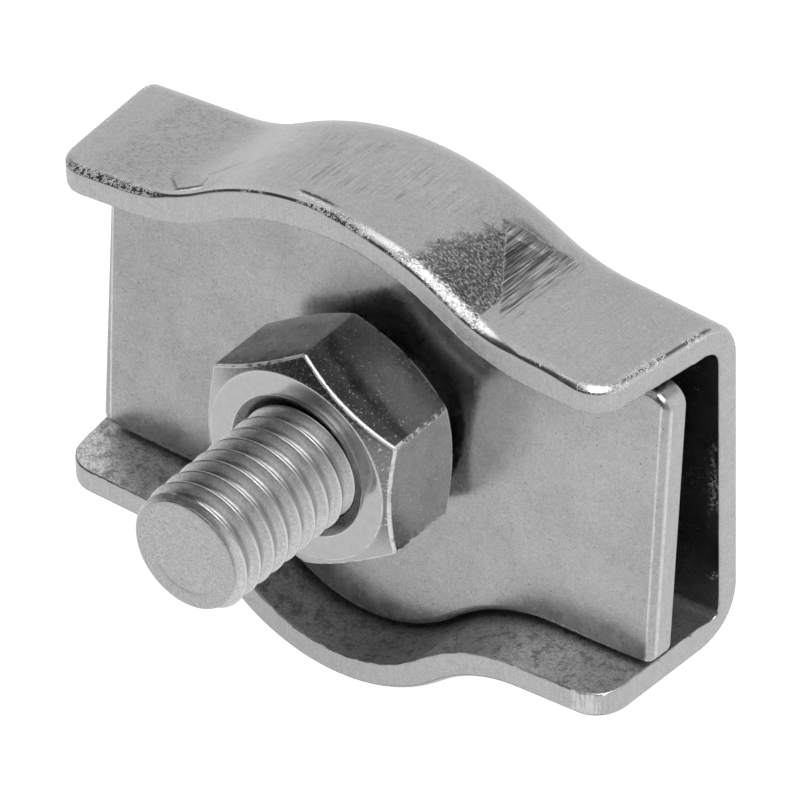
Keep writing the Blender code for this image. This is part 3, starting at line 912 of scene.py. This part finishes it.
def steel(name):
    """A bare metal; also its shader node, place in mm in the drawing's frame, and normal."""
    grey = (0.58, 0.58, 0.58, 1)
    material = bpy.data.materials.new(name)
    material.use_nodes = True
    material.diffuse_color = grey
    tree = material.node_tree
    tree.nodes.clear()
    out = add_node(tree, "ShaderNodeOutputMaterial")
    surface = add_node(tree, "ShaderNodeBsdfPrincipled",
                       {"Metallic": 1.0, "Base Color": grey, "Roughness": 0.24})
    feed(out, 0, Value(surface.outputs[0]))
    source = add_node(tree, "ShaderNodeTexCoord")
    place = mapped(Value(source.outputs["Object"]),
                   Location=(0, HEAD_END * 1000, 0), Scale=(1000, 1000, 1000))
    return material, surface, place, Value(source.outputs["Normal"])


def feed_colour(surface, value):
    """Neutral steel grey with the faintest warmth."""
    grey = add_node(value.tree, "ShaderNodeCombineXYZ", {0: value * 1.004, 1: value, 2: value * 0.997})
    feed(surface, "Base Color", Value(grey.outputs[0]))


# ---- housing materials ------------------------------------------------------------
def sheet_textures(place):
    return SimpleNamespace(
        grain=noise(place, scale=8.5, detail=3, rough=0.65),
        mid=noise(place, scale=2.6, detail=3, rough=0.6),
        broad=noise(place, scale=0.22, detail=3),
        lines=streaks(place, scale=(9.0, 0.30, 0.0), detail=2, rough=0.65),
        deep_lines=ramp(streaks(place, scale=(4.5, 0.30, 0.0), detail=3, rough=0.7),
                        over=(0.52, 0.66)),
        along=streaks(place, scale=(0.35, 7.0, 7.0), detail=2, rough=0.6),
        dashes=streaks(place, scale=(4.0, 7.5, 7.5), detail=4, rough=0.8, turn=(0, 0, 0.5)),
        wander=swing(noise(place, scale=0.9, rough=0.65), by=3.2))


def crest_mask(x, y, wandering_x, wander, upper):
    """Brushed band over the crest; it stops short of both edges, sooner towards +X."""
    front_line = y + 9.6 - most(x, 0.0) * 0.52
    return (window(wandering_x, rise=(-6.5, -4.0), fall=(5.0, 7.0)) * upper
            * ramp(front_line + wander * 0.5, over=(-0.2, 0.9))
            * ramp(y + wander * 0.3, over=(-3.5, -4.1)))


def shoulder_masks(place, x, y, wandering_x, tex, upper):
    """The burnished shoulder, and the brushed wedge past the slanting line where it ends."""
    wander = tex.wander
    jag = swing(streaks(place, scale=(5.0, 0.4, 0.0), detail=2, rough=0.6), by=2.6)
    from_line = x - 4.56 + y * 0.66 + wander * 0.16
    to_line = y * 0.07 + 11.5 - x
    rear = y + 4.0 + (x - 7.3) * -0.35
    wedge = (ramp(from_line, over=(-0.05, 0.25)) * ramp(to_line + jag * 1.5, over=(-0.6, 0.5))
             * ramp(rear + jag * 0.5, over=(0.3, -0.5)) * upper)
    band = (window(rear + wander * 0.25, rise=(-1.1, -0.6), fall=(-0.1, 0.35))
            * window(wandering_x, rise=(6.4, 7.4), fall=(10.6, 11.4)) * upper)
    shoulder = (ramp(wandering_x + (y + 8.5) * -0.25, over=(4.9, 7.1))
                * ramp(from_line, over=(0.25, -0.05)) * upper * ramp(x, over=(10.6, 10.2))
                * ramp(rear + wander * 0.4, over=(0.2, -0.8)))
    shoulder = most(shoulder, band * 0.9)
    broken = ramp(shoulder + swing(tex.dashes, by=2.2), over=(0.40, 0.75))
    return broken * ramp(shoulder, over=(0.02, 0.15)), wedge


def dent_masks(place, x, tip, wander, upper):
    """Creases darkened as painted shade, and torn metal made bright as painted glints, round the dent
    and the flake.
    """
    front, left, right = dent_sides(x, tip)
    rag = swing(noise(place, scale=5.0, detail=2, rough=0.6), by=0.25)
    crease = (window(front + rag, rise=(-0.36, -0.30), fall=(-0.10, 0.0))
              * ramp(left, over=(-0.15, 0.05)) * ramp(right, over=(-0.30, -0.10)) * upper)
    crease = most(crease, window(left + rag, rise=(-0.06, 0.02), fall=(0.10, 0.26))
                  * ramp(front, over=(-0.05, 0.1)) * ramp(tip, over=(2.3, 1.5)) * upper * 0.8)
    crease = most(crease, window(front + rag, rise=(0.08, 0.16), fall=(0.26, 0.36))
                  * window(right, rise=(0.45, 0.60), fall=(1.3, 1.5)) * upper)
    torn = (window(right, rise=(-0.35, -0.20), fall=(0.25, 0.60))
            * window(front + rag, rise=(-0.70, -0.58), fall=(-0.34, -0.24)) * upper)
    torn = most(torn, window(front + rag, rise=(-0.50, -0.44), fall=(-0.38, -0.30))
                * ramp(left, over=(-0.1, 0.1)) * ramp(right, over=(-0.2, 0.0)) * upper * 0.9)
    across = flake_across(x, tip)
    along = window(x + wander * 0.3, rise=(-2.6, -2.1), fall=(-0.6, 0.8))
    crease = most(crease, window(across + rag, rise=(-0.05, 0.03), fall=(0.12, 0.24))
                  * along * upper)
    ragged = noise(place, scale=5.0, detail=3, rough=0.7)
    torn = most(torn, window(across + rag * 2.0, rise=(-0.45, -0.30), fall=(-0.10, 0.0))
                * along * upper * ramp(ragged, over=(0.42, 0.55)))
    return crease, torn


def edge_masks(place, x, y, tip, mid, inner_low):
    """Wear near the rolled edges, lightened partly as a painted highlight, and clusters of bright
    nicks in it, partly painted glints.
    """
    right = y * 0.101 + WEB_ENDS[1] / MM - x
    left = y * 0.085 + WEB_ENDS[0] / MM + x
    edge = least(tip, least(right, left))
    worn = ramp(edge + swing(mid, by=1.1), over=(0.80, 0.20)) * (1.0 - inner_low)
    patches = ramp(noise(place, scale=0.35, detail=2), over=(0.50, 0.58)) * 0.9
    clusters = most(ramp(x, over=(-11.5, -12.5)),
                    most(window(x, rise=(-2.5, -1.0), fall=(2.0, 4.0)), patches))
    fine = noise(place, scale=4.6, detail=3, rough=0.75)
    return worn, worn * clusters * ramp(fine, over=(0.50, 0.58))


def sheet_masks(place, normal, tex):
    """Where each kind of finish lies on the housing."""
    x, y, z = parts(place)
    _, ny, nz = parts(normal)
    mask = SimpleNamespace(x=x, y=y)
    mask.uv = flat(x, blend(z, y, where=ramp(abs(nz), over=(0.35, 0.65))))
    mask.upper = upper = ramp(z, over=(6.0, 8.0)) * ramp(nz, over=(0.0, 0.3))
    # inner face of the lower flange
    mask.inner_low = ramp(z, over=(-5.0, -7.0)) * ramp(nz, over=(0.1, 0.5))
    mask.wandering_x = wandering_x = x + tex.wander
    mask.crest = crest_mask(x, y, wandering_x, tex.wander, upper)
    mask.shoulder, mask.wedge = shoulder_masks(place, x, y, wandering_x, tex, upper)
    mask.left = (window(wandering_x, rise=(-17.8, -16.6), fall=(-13.0, -11.0)) * upper
                 * ramp(tex.mid, over=(0.42, 0.58)))
    mask.pits = specks(mask.uv, scale=0.8, share=0.16, size=0.050)
    mask.fine_pits = specks(mask.uv, scale=3.6, share=0.16, size=0.022, shift=3.7)
    hair = most(
        specks(mask.uv, scale=2.2, share=0.10, size=0.020, long=22.0, angle=0.5, shift=1.3),
        specks(mask.uv, scale=2.0, share=0.08, size=0.018, long=30.0, angle=-1.2, shift=5.1))
    mask.marks = most(mask.pits, most(mask.fine_pits, hair))
    blots = noise(place, scale=1.3, detail=8, rough=0.84)
    spots = noise(place, scale=5.5, detail=4, rough=0.75)
    mask.stain = most(ramp(blots, over=(0.50, 0.57)) * 0.95,
                      ramp(spots, over=(0.47, 0.58)) * 0.55) * mask.inner_low
    tip = y + DEPTH / MM
    mask.crease, mask.torn = dent_masks(place, x, tip, tex.wander, upper)
    mask.worn, mask.nick = edge_masks(place, x, y, tip, tex.mid, mask.inner_low)
    # inner face of the web, darkened below as painted shade
    mask.web_in = (ramp(ny, over=(-0.5, -0.8)) * ramp(abs(nz), over=(0.6, 0.3))
                   * ramp(y, over=(-1.2, -1.6)))
    return mask


def sheet_roughness(tex, mask):
    rough = ramp(tex.broad, over=(0.35, 0.65), to=(0.21, 0.27)) + swing(tex.mid, by=0.16)
    return layered(
        rough, (mask.crest, 0.27), (mask.wedge, 0.20), (mask.shoulder, 0.18),
        (mask.left * 0.6, 0.15),
        (mask.inner_low, ramp(tex.mid, over=(0.35, 0.65), to=(0.30, 0.46))),
        (mask.worn * 0.6, 0.20), (most(mask.pits, mask.fine_pits), 0.55))


def sheet_relief(tex, mask):
    """Bump height; each factor is the strength of its texture or mask."""
    height = tex.grain * 0.75
    height += tex.lines * blend(0.10, 1.3, where=most(mask.crest, mask.wedge))
    height += tex.deep_lines * mask.crest * -0.9
    height += tex.deep_lines * mask.wedge * -1.8
    height += tex.dashes * blend(0.0, 6.5, where=mask.shoulder)
    height += tex.along * blend(0.5, 0.0, where=mask.upper)
    height += mask.stain * (tex.grain - 0.9) * 1.6
    height += mask.marks * -3.0
    return height + mask.nick * 5.0


def sheet_colour(tex, mask):
    """Grey value: textured steel, then the finishes laid over it, with painted shade, painted
    highlights and painted glints among them.
    """
    grey = ramp(tex.broad, over=(0.3, 0.7), to=(0.555, 0.60))
    grey = grey + swing(tex.grain, by=0.46) + swing(tex.mid, by=0.20)
    grey = grey - tex.deep_lines * (mask.crest * 0.14)
    grey = grey + (tex.lines - 0.5) * mask.crest * 0.34
    darker = grey - ramp(tex.dashes, over=(0.40, 0.60), to=(0.20, 0.02))
    grey = blend(grey, darker, where=mask.left)
    smear = (window(mask.wandering_x, rise=(12.0, 13.5), fall=(18.5, 20.0)) * mask.upper
             * ramp(tex.mid, over=(0.35, 0.60)))
    grey = grey + (tex.lines - 0.53) * smear * 0.34
    dashed = 0.18 + (tex.dashes - 0.475) * 3.6
    combed = 0.27 + (tex.lines - 0.47) * 2.6
    grey = layered(grey, (mask.shoulder * 0.95, least(most(dashed, 0.06), 1.0)),
                   (mask.wedge * 0.95, most(combed, 0.12)))
    # painted light and shade: the lower flange's inside is painted lighter towards its ends and darker
    # towards the web, where it lies in shade and reflects the dark inside
    shade = (ramp(abs(mask.x), over=(9.0, 15.0), to=(1.08, 1.62))
             * ramp(mask.y, over=(-8.8, -6.0), to=(1.0, 0.42)))
    grey = layered(grey, (mask.inner_low, grey * shade), (mask.stain * 0.80, 0.17),
                   # painted highlight in the edge wear, painted glints in the nicks
                   (mask.marks * 0.35, 0.24), (mask.worn * 0.45, 0.72), (mask.nick, 0.97),
                   # painted shade in the creases, painted glints on the torn metal
                   (mask.crease * 0.9, 0.08), (mask.torn, 0.98))
    dots = specks(mask.uv, scale=1.8, share=0.16, size=0.030, shift=8.3)
    # painted shade: the web's inner face, behind the plate, is darkened, with light specks over it
    grey = blend(grey, grey * 0.55 + dots * 0.5, where=mask.web_in)
    return most(grey, 0.05)


def sheet_material():
    """Satin pressed sheet: fine grain, brushed bands, a burnished shoulder, stains inside, painted
    shade inside and painted highlights and glints at the edges.
    """
    material, surface, place, normal = steel("housing_steel")
    tex = sheet_textures(place)
    mask = sheet_masks(place, normal, tex)
    feed(surface, "Roughness", sheet_roughness(tex, mask))
    soft = bump(noise(place, scale=0.45, detail=2), distance=0.035 * MM)
    relief = sheet_relief(tex, mask)
    feed(surface, "Normal", bump(relief, distance=0.0032 * MM, normal=soft))
    # painted glints: nicks and torn metal get less metal, so their near-white colour shows
    bright = most(mask.torn, mask.nick)
    feed(surface, "Metallic", least(blend(1.0, 0.72, where=mask.inner_low),
                                    blend(1.0, 0.50, where=bright)))
    feed_colour(surface, sheet_colour(tex, mask))
    return material


def cut_material(name, plate=False):
    """Blanked edges: striations straight across the sheet's thickness, dull, a little torn."""
    material, surface, place, normal = steel(name)
    across_scale = (9.0, 0.5, 0.5) if plate else (8.0, 0.7, 0.7)
    across = streaks(place, scale=across_scale, detail=3, rough=0.7)
    if plate:
        ends = streaks(place, scale=(1.0, 9.0, 0.45), detail=3, rough=0.7)
    else:
        x, y, z = parts(place)
        web = streaks(place, scale=(0.5, 0.7, 8.0), detail=3, rough=0.7)
        flange = streaks(place, scale=(0.5, 8.0, 0.7), detail=3, rough=0.7)
        ends = blend(flange, web, where=ramp(y, over=(-3.4, -1.9)))
    at_ends = ramp(abs(parts(normal)[0]), over=(0.45, 0.75))
    striae = blend(across, ends, where=at_ends)
    grain = noise(place, scale=10.0, detail=2, rough=0.6)
    patch = noise(place, scale=1.1, rough=0.6)
    torn = ramp(noise(place, scale=2.2, detail=5, rough=0.7), over=(0.56, 0.66))
    feed(surface, "Roughness", ramp(patch, over=(0.35, 0.65), to=(0.27, 0.42)))
    relief = striae * 1.6 + grain * 0.6 + torn * -1.2
    feed(surface, "Normal", bump(relief, distance=0.0026 * MM))
    grey = ramp(striae, over=(0.30, 0.70), to=(0.575, 0.645))
    grey = grey + swing(grain, by=0.42) + swing(patch, by=0.22)
    grey = blend(grey, 0.42, where=torn * 0.30)
    if not plate:
        # a bright patch on the flange tips towards +X, strongest on the lower one
        rubbed = (window(x + swing(patch, by=2.0), rise=(16.7, 17.1), fall=(18.3, 18.9))
                  * ramp(y, over=(-10.3, -10.8)) * ramp(z, over=(2.0, -2.0))
                  * ramp(striae, over=(0.40, 0.55)))
        grey = blend(grey, 0.95, where=rubbed)
        feed(surface, "Metallic", blend(1.0, 0.5, where=rubbed))
    feed_colour(surface, grey)
    return material


# ---- plate and bolt materials -----------------------------------------------------
def plate_material():
    """Flat sheet: satin, with pits, faint hair scratches and painted highlight lines on the rolled
    edge.
    """
    material, surface, place, _ = steel("plate_steel")
    x, _, z = parts(place)
    uv = flat(x, z)
    grain = noise(place, scale=8.5, detail=3, rough=0.65)
    mid = noise(place, scale=2.4, detail=3, rough=0.6)
    cloud = noise(place, scale=0.55, detail=5, rough=0.62)
    broad = noise(place, scale=0.16, detail=2)
    pits = most(specks(uv, scale=0.7, share=0.14, size=0.050),
                specks(uv, scale=3.4, share=0.20, size=0.024, shift=2.9))
    hair = most(
        specks(uv, scale=1.9, share=0.12, size=0.018, long=22.0, angle=0.9, shift=1.3),
        most(specks(uv, scale=1.7, share=0.10, size=0.016, long=30.0, angle=-0.5, shift=5.1),
             specks(uv, scale=2.4, share=0.10, size=0.016, long=18.0, angle=1.9, shift=7.7)))
    curl = most(specks(uv, scale=3.0, share=0.14, size=0.022, long=4.0, angle=0.3, shift=9.1),
                specks(uv, scale=2.6, share=0.14, size=0.020, long=5.0, angle=1.4, shift=3.3))
    smut = ramp(noise(place, scale=1.9, detail=7, rough=0.76), over=(0.60, 0.70))
    # two painted highlight lines along each end, where the rolled edge starts and where it stops
    right = z * PLATE_SKEW + (PLATE_HALF + PLATE_SHIFT) / MM - x
    left = x + (PLATE_HALF - PLATE_SHIFT) / MM
    edge = least(right, left) + swing(mid, by=0.08)
    worn = most(window(edge, rise=(0.36, 0.44), fall=(0.50, 0.58)),
                window(edge, rise=(-0.06, -0.01), fall=(0.03, 0.09)))

    rough = ramp(cloud, over=(0.35, 0.65), to=(0.22, 0.31)) + swing(mid, by=0.12)
    feed(surface, "Roughness", layered(rough, (pits, 0.5), (worn, 0.24)))
    relief = grain * 0.8 + mid * 0.5 + pits * -3.0 + hair * -2.0 + curl * -2.0
    soft = bump(noise(place, scale=0.5, detail=2), distance=0.020 * MM)
    feed(surface, "Normal", bump(relief, distance=0.0030 * MM, normal=soft))
    grey = ramp(broad, over=(0.35, 0.65), to=(0.505, 0.555)) + swing(grain, by=0.46)
    grey = grey + swing(cloud, by=0.20) + swing(mid, by=0.16)
    # painted light and shade: the plate is painted a little darker towards -X and lighter towards +X
    grey = grey + ramp(x, over=(-8.0, 14.0), to=(-0.03, 0.02))
    worn_share = worn * ramp(mid, over=(0.35, 0.6), to=(0.6, 1.0))
    # painted highlight: the two lines along each end are painted near white
    feed_colour(surface, layered(grey, (smut * 0.30, 0.38), (pits * 0.60, 0.20),
                                 (curl * 0.55, 0.24), (hair * 0.4, 0.78), (worn_share, 0.84)))
    return material


def bolt_material():
    """Rolled thread: satin flanks, crests with a painted highlight, roots darkened as painted shade, a
    grainy end face.
    """
    material, surface, place, _ = steel("bolt_steel")
    x, y, z = parts(place)
    radius = axis_radius(x, z)
    grain = noise(place, scale=8.5, detail=3, rough=0.65)
    mid = noise(place, scale=2.8, rough=0.65)
    end_grain = noise(place, scale=7.0, rough=0.7)
    # marks that run round with the thread
    angle = calculate("ARCTAN2", z, x)
    along_helix = y + angle * (PITCH / MM / (2 * math.pi))
    ring = noise(flat(angle * 2.2, along_helix * 9.0), scale=1.0, detail=3, rough=0.65)
    wobble = swing(mid, by=0.10)
    crest = ramp(radius + wobble, over=(3.78, 3.87))
    root_shade = ramp(radius + wobble, over=(3.46, 3.26))
    end_y = BOLT_END / MM
    end = ramp(y, over=(end_y + 0.06, end_y))
    chamfer = ramp(y, over=(end_y + 0.75, end_y + 0.35)) * (1.0 - end)

    rough = ramp(mid, over=(0.35, 0.65), to=(0.30, 0.44))
    end_rough = ramp(mid, over=(0.35, 0.65), to=(0.30, 0.42))
    feed(surface, "Roughness", layered(rough, (crest, 0.28), (root_shade, 0.34), (end, end_rough)))
    relief = (grain * blend(3.0, 1.0, where=end) + ring * blend(1.6, 0.0, where=end)
              + end_grain * blend(2.8, 1.8, where=end) + mid * blend(0.0, 3.0, where=chamfer))
    feed(surface, "Normal", bump(relief, distance=0.0042 * MM))
    grey = blend(0.76, 0.59, where=end) + swing(grain, by=0.60)
    grey = grey + swing(ring, by=blend(0.30, 0.0, where=end))
    grey = grey + swing(end_grain, by=blend(0.60, 0.45, where=end))
    # painted shade in the thread roots, painted highlight on the crest lines
    feed_colour(surface, layered(grey, (root_shade * blend(0.72, 0.0, where=end), 0.26),
                                 (crest * blend(0.75, 0.0, where=end), 0.92)))
    return material


# ---- materials of the nut and the head --------------------------------------------
def flats_material(name):
    """Bright, smooth flats with dust-like flecks, corner wear painted partly as a painted highlight,
    and a few dull clouds.
    """
    material, surface, place, _ = steel(name)
    x, y, z = parts(place)
    grain = noise(place, scale=11.0, detail=2, rough=0.6)
    cloud = noise(place, scale=0.55, rough=0.6)
    uv = flat(calculate("ARCTAN2", z, x) * 6.5, y)
    fleck_and_glint = most(
        ramp(noise(place, scale=7.5, detail=2, rough=0.6), over=(0.655, 0.70)),
        specks(uv, scale=1.8, share=0.20, size=0.020, long=5.0, angle=0.7, shift=4.4))
    density = noise(place, scale=0.8, detail=3, rough=0.6)
    fleck_and_glint = fleck_and_glint * ramp(density, over=(0.40, 0.60), to=(0.35, 0.9))
    # wear at the hexagon's corners, mostly towards +X, painted near white partly as a painted
    # highlight
    corner = (ramp(axis_radius(x, z), over=(7.385, 7.435))
              * ramp(noise(place, scale=2.6, rough=0.7), over=(0.46, 0.58))
              * ramp(x, over=(1.0, 4.0), to=(0.15, 1.0)))
    fleck_and_glint = most(fleck_and_glint, corner)
    streak = streaks(place, scale=(5.0, 0.3, 5.0), detail=2, rough=0.6)
    rough = ramp(cloud, over=(0.35, 0.65), to=(0.10, 0.17)) + swing(grain, by=0.06)
    feed(surface, "Roughness", blend(rough, 0.75, where=fleck_and_glint))
    relief = grain * 0.8 + streak * 0.5 + fleck_and_glint * 2.5
    soft = bump(noise(place, scale=0.6, detail=2), distance=0.022 * MM)
    feed(surface, "Normal", bump(relief, distance=0.0022 * MM, normal=soft))
    feed(surface, "Metallic", blend(1.0, 0.70, where=fleck_and_glint))
    grey = ramp(cloud, over=(0.3, 0.7), to=(0.50, 0.60)) + swing(grain, by=0.75)
    feed_colour(surface, blend(grey, 0.97, where=fleck_and_glint))
    return material


def face_material(name):
    """Turned face: fine rings, light."""
    material, surface, place, _ = steel(name)
    x, _, z = parts(place)
    grain = noise(place, scale=11.0, detail=2, rough=0.6)
    mid = noise(place, scale=1.8, rough=0.6)
    polar = flat(axis_radius(x, z) * 9.0, calculate("ARCTAN2", z, x) * 0.4)
    rings = noise(polar, scale=1.0, detail=2, rough=0.6)
    feed(surface, "Roughness", ramp(mid, over=(0.35, 0.65), to=(0.10, 0.16)))
    feed(surface, "Normal", bump(grain * 0.4 + rings * 0.25, distance=0.0020 * MM))
    feed_colour(surface, ramp(mid, over=(0.3, 0.7), to=(0.59, 0.64)) + swing(grain, by=0.10))
    return material


def cone_material(name):
    """Chamfer cones: scaly on the upper side towards +X, painted dark there as a painted reflection
    with painted glints; burnished on the other.
    """
    material, surface, place, _ = steel(name)
    x, _, z = parts(place)
    scale = noise(place, scale=5.5, rough=0.75)
    grain = noise(place, scale=12.0, detail=2, rough=0.6)
    glint_spark = ramp(scale, over=(0.58, 0.64))
    side = ramp(x * 0.5 + z * 0.86, over=(-1.0, 2.5))
    scaly_rough = ramp(scale, over=(0.35, 0.65), to=(0.16, 0.34))
    feed(surface, "Roughness", blend(0.16, scaly_rough, where=side))
    strength = blend(0.25, 1.0, where=side)
    feed(surface, "Normal", bump(scale + grain * 0.4, distance=0.013 * MM, strength=strength))
    # painted reflection: the upper side towards +X is painted dark, with painted glints in the scale
    grey = blend(0.58, blend(0.27, 0.90, where=glint_spark), where=side)
    feed_colour(surface, grey + swing(grain, by=0.25))
    return material


def worn_material(name):
    """Worn edges, made bright partly as a painted highlight, broken up along their length."""
    material, surface, place, _ = steel(name)
    part = ramp(noise(place, scale=1.6, rough=0.65), over=(0.38, 0.52))
    grain = noise(place, scale=9.0, detail=3, rough=0.65)
    feed(surface, "Roughness", blend(0.22, 0.42, where=part))
    feed(surface, "Metallic", blend(1.0, 0.70, where=part))
    feed(surface, "Normal", bump(grain, distance=0.010 * MM))
    # painted highlight: the worn edges are painted near white where they break up
    feed_colour(surface, blend(0.60, 0.97, where=part))
    return material


def bore_material(name):
    """Dull cut metal, painted dark as painted shade inside the bore."""
    material, surface, place, _ = steel(name)
    grain = noise(place, scale=8.0, detail=3, rough=0.65)
    feed(surface, "Roughness", ramp(grain, over=(0.35, 0.65), to=(0.22, 0.34)))
    feed(surface, "Normal", bump(grain, distance=0.006 * MM))
    # painted shade: the bore's colour is kept dark
    feed_colour(surface, ramp(grain, over=(0.3, 0.7), to=(0.20, 0.34)))
    return material


def hexagon_materials(name):
    """In the order of the slots FLATS, FACE, CONE, WEAR_AND_HIGHLIGHT, BORE."""
    return [flats_material(name + "_flats"), face_material(name + "_face"),
            cone_material(name + "_cone"), worn_material(name + "_worn"),
            bore_material(name + "_bore")]


# ---- stage ------------------------------------------------------------------------
def make_world():
    """White sweep below and behind, dark room in front; the camera itself sees white."""
    world = bpy.data.worlds.new("studio")
    bpy.context.scene.world = world
    world.use_nodes = True
    tree = world.node_tree
    tree.nodes.clear()
    out = add_node(tree, "ShaderNodeOutputWorld")
    background = add_node(tree, "ShaderNodeBackground")
    feed(out, 0, Value(background.outputs[0]))
    direction = Value(add_node(tree, "ShaderNodeTexCoord").outputs["Generated"])
    _, y, z = parts(direction)

    def spot(toward, inner, outer):
        """1 within inner degrees of a direction, 0 beyond outer."""
        dot = add_node(tree, "ShaderNodeVectorMath",
                       {0: direction, 1: Vector(toward).normalized()}, operation="DOT_PRODUCT")
        return ramp(Value(dot.outputs["Value"]),
                    over=(math.cos(math.radians(outer)), math.cos(math.radians(inner))))

    white, dark = 0.68, 0.05
    sweep = most(ramp(y, over=(-0.05, 0.30)), ramp(z, over=(-0.02, -0.14)))
    gap = spot((0.43, 0.57, 0.70), inner=12, outer=19)
    light = blend(dark, white, where=sweep * (1.0 - gap * 0.88))
    # soft box overhead to the right, a weaker one straight above, a glow from +X
    light = light + spot((0.42, -0.24, 0.86), inner=15, outer=22) * 3.4
    light = light + spot((0.02, -0.14, 0.99), inner=10, outer=20) * 1.5
    light = light + spot((1.0, -0.05, 0.0), inner=25, outer=60) * 0.30
    grey = add_node(tree, "ShaderNodeCombineXYZ", {0: light, 1: light, 2: light})
    ray = add_node(tree, "ShaderNodeLightPath")
    seen = add_node(tree, "ShaderNodeMix", data_type="RGBA")
    feed(seen, 0, Value(ray.outputs["Is Camera Ray"]))
    feed(seen, 6, Value(grey.outputs[0]))
    feed(seen, 7, (1, 1, 1, 1))
    feed(background, "Color", Value(seen.outputs[2]))


def floor_material():
    """A glowing floor, brighter to the camera than to the parts above it."""
    material = bpy.data.materials.new("floor_white")
    material.use_nodes = True
    tree = material.node_tree
    tree.nodes.clear()
    out = add_node(tree, "ShaderNodeOutputMaterial")
    ray = add_node(tree, "ShaderNodeLightPath")
    strength = blend(0.56, 0.95, where=Value(ray.outputs["Is Camera Ray"]))
    glow = add_node(tree, "ShaderNodeEmission", {"Strength": strength, "Color": (1, 1, 1, 1)})
    matt = add_node(tree, "ShaderNodeBsdfDiffuse", {"Color": (0.30, 0.30, 0.30, 1)})
    both = add_node(tree, "ShaderNodeAddShader",
                    {0: Value(glow.outputs[0]), 1: Value(matt.outputs[0])})
    feed(out, 0, Value(both.outputs[0]))
    return material


def make_floor(level):
    mesh = bpy.data.meshes.new("floor")
    half = 3.0
    corners = [(-half, -half), (half, -half), (half, half), (-half, half)]
    mesh.from_pydata([(x, y, level) for x, y in corners], [], [(0, 1, 2, 3)])
    obj = bpy.data.objects.new("floor", mesh)
    bpy.context.scene.collection.objects.link(obj)
    mesh.materials.append(floor_material())
    obj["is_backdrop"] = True


def make_camera():
    """A long lens looking from the front, above and the right."""
    camera = bpy.data.cameras.new("camera")
    camera.sensor_fit = "HORIZONTAL"
    camera.sensor_width = 36
    camera.lens = 495.14
    camera.clip_start, camera.clip_end = 0.01, 20
    obj = bpy.data.objects.new("camera", camera)
    right = (0.79705786, 0.60362567, -0.01829805)
    up = (-0.34978773, 0.48615295, 0.80081449)
    back = (0.49228784, -0.63189505, 0.59863288)
    pose = Matrix((right, up, back)).transposed().to_4x4()
    pose.translation = (0.30993217, -0.408195, 0.37565063)
    obj.matrix_world = pose
    bpy.context.scene.collection.objects.link(obj)
    bpy.context.scene.camera = obj


# ---- build ------------------------------------------------------------------------
housing = make_housing([sheet_material(), cut_material("housing_cut_edge")])
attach(housing, "housing")
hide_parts("housing")

bolt = make_bolt(bolt_material())
head = make_head(hexagon_materials("head"))
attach(bolt, "housing")
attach(head, "housing")
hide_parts("hex_bolt")

plate = make_plate([plate_material(), cut_material("plate_cut_edge", plate=True)])
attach(plate, "plate")
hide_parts("pressure_plate")

nut = make_nut(hexagon_materials("nut"))
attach(nut, "nut")
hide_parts("hex_nut")

make_world()
FLOOR_GAP = 0.00002
make_floor(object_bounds()[0][2] - FLOOR_GAP)
make_camera()
bpy.context.scene.view_settings.view_transform = "Standard"
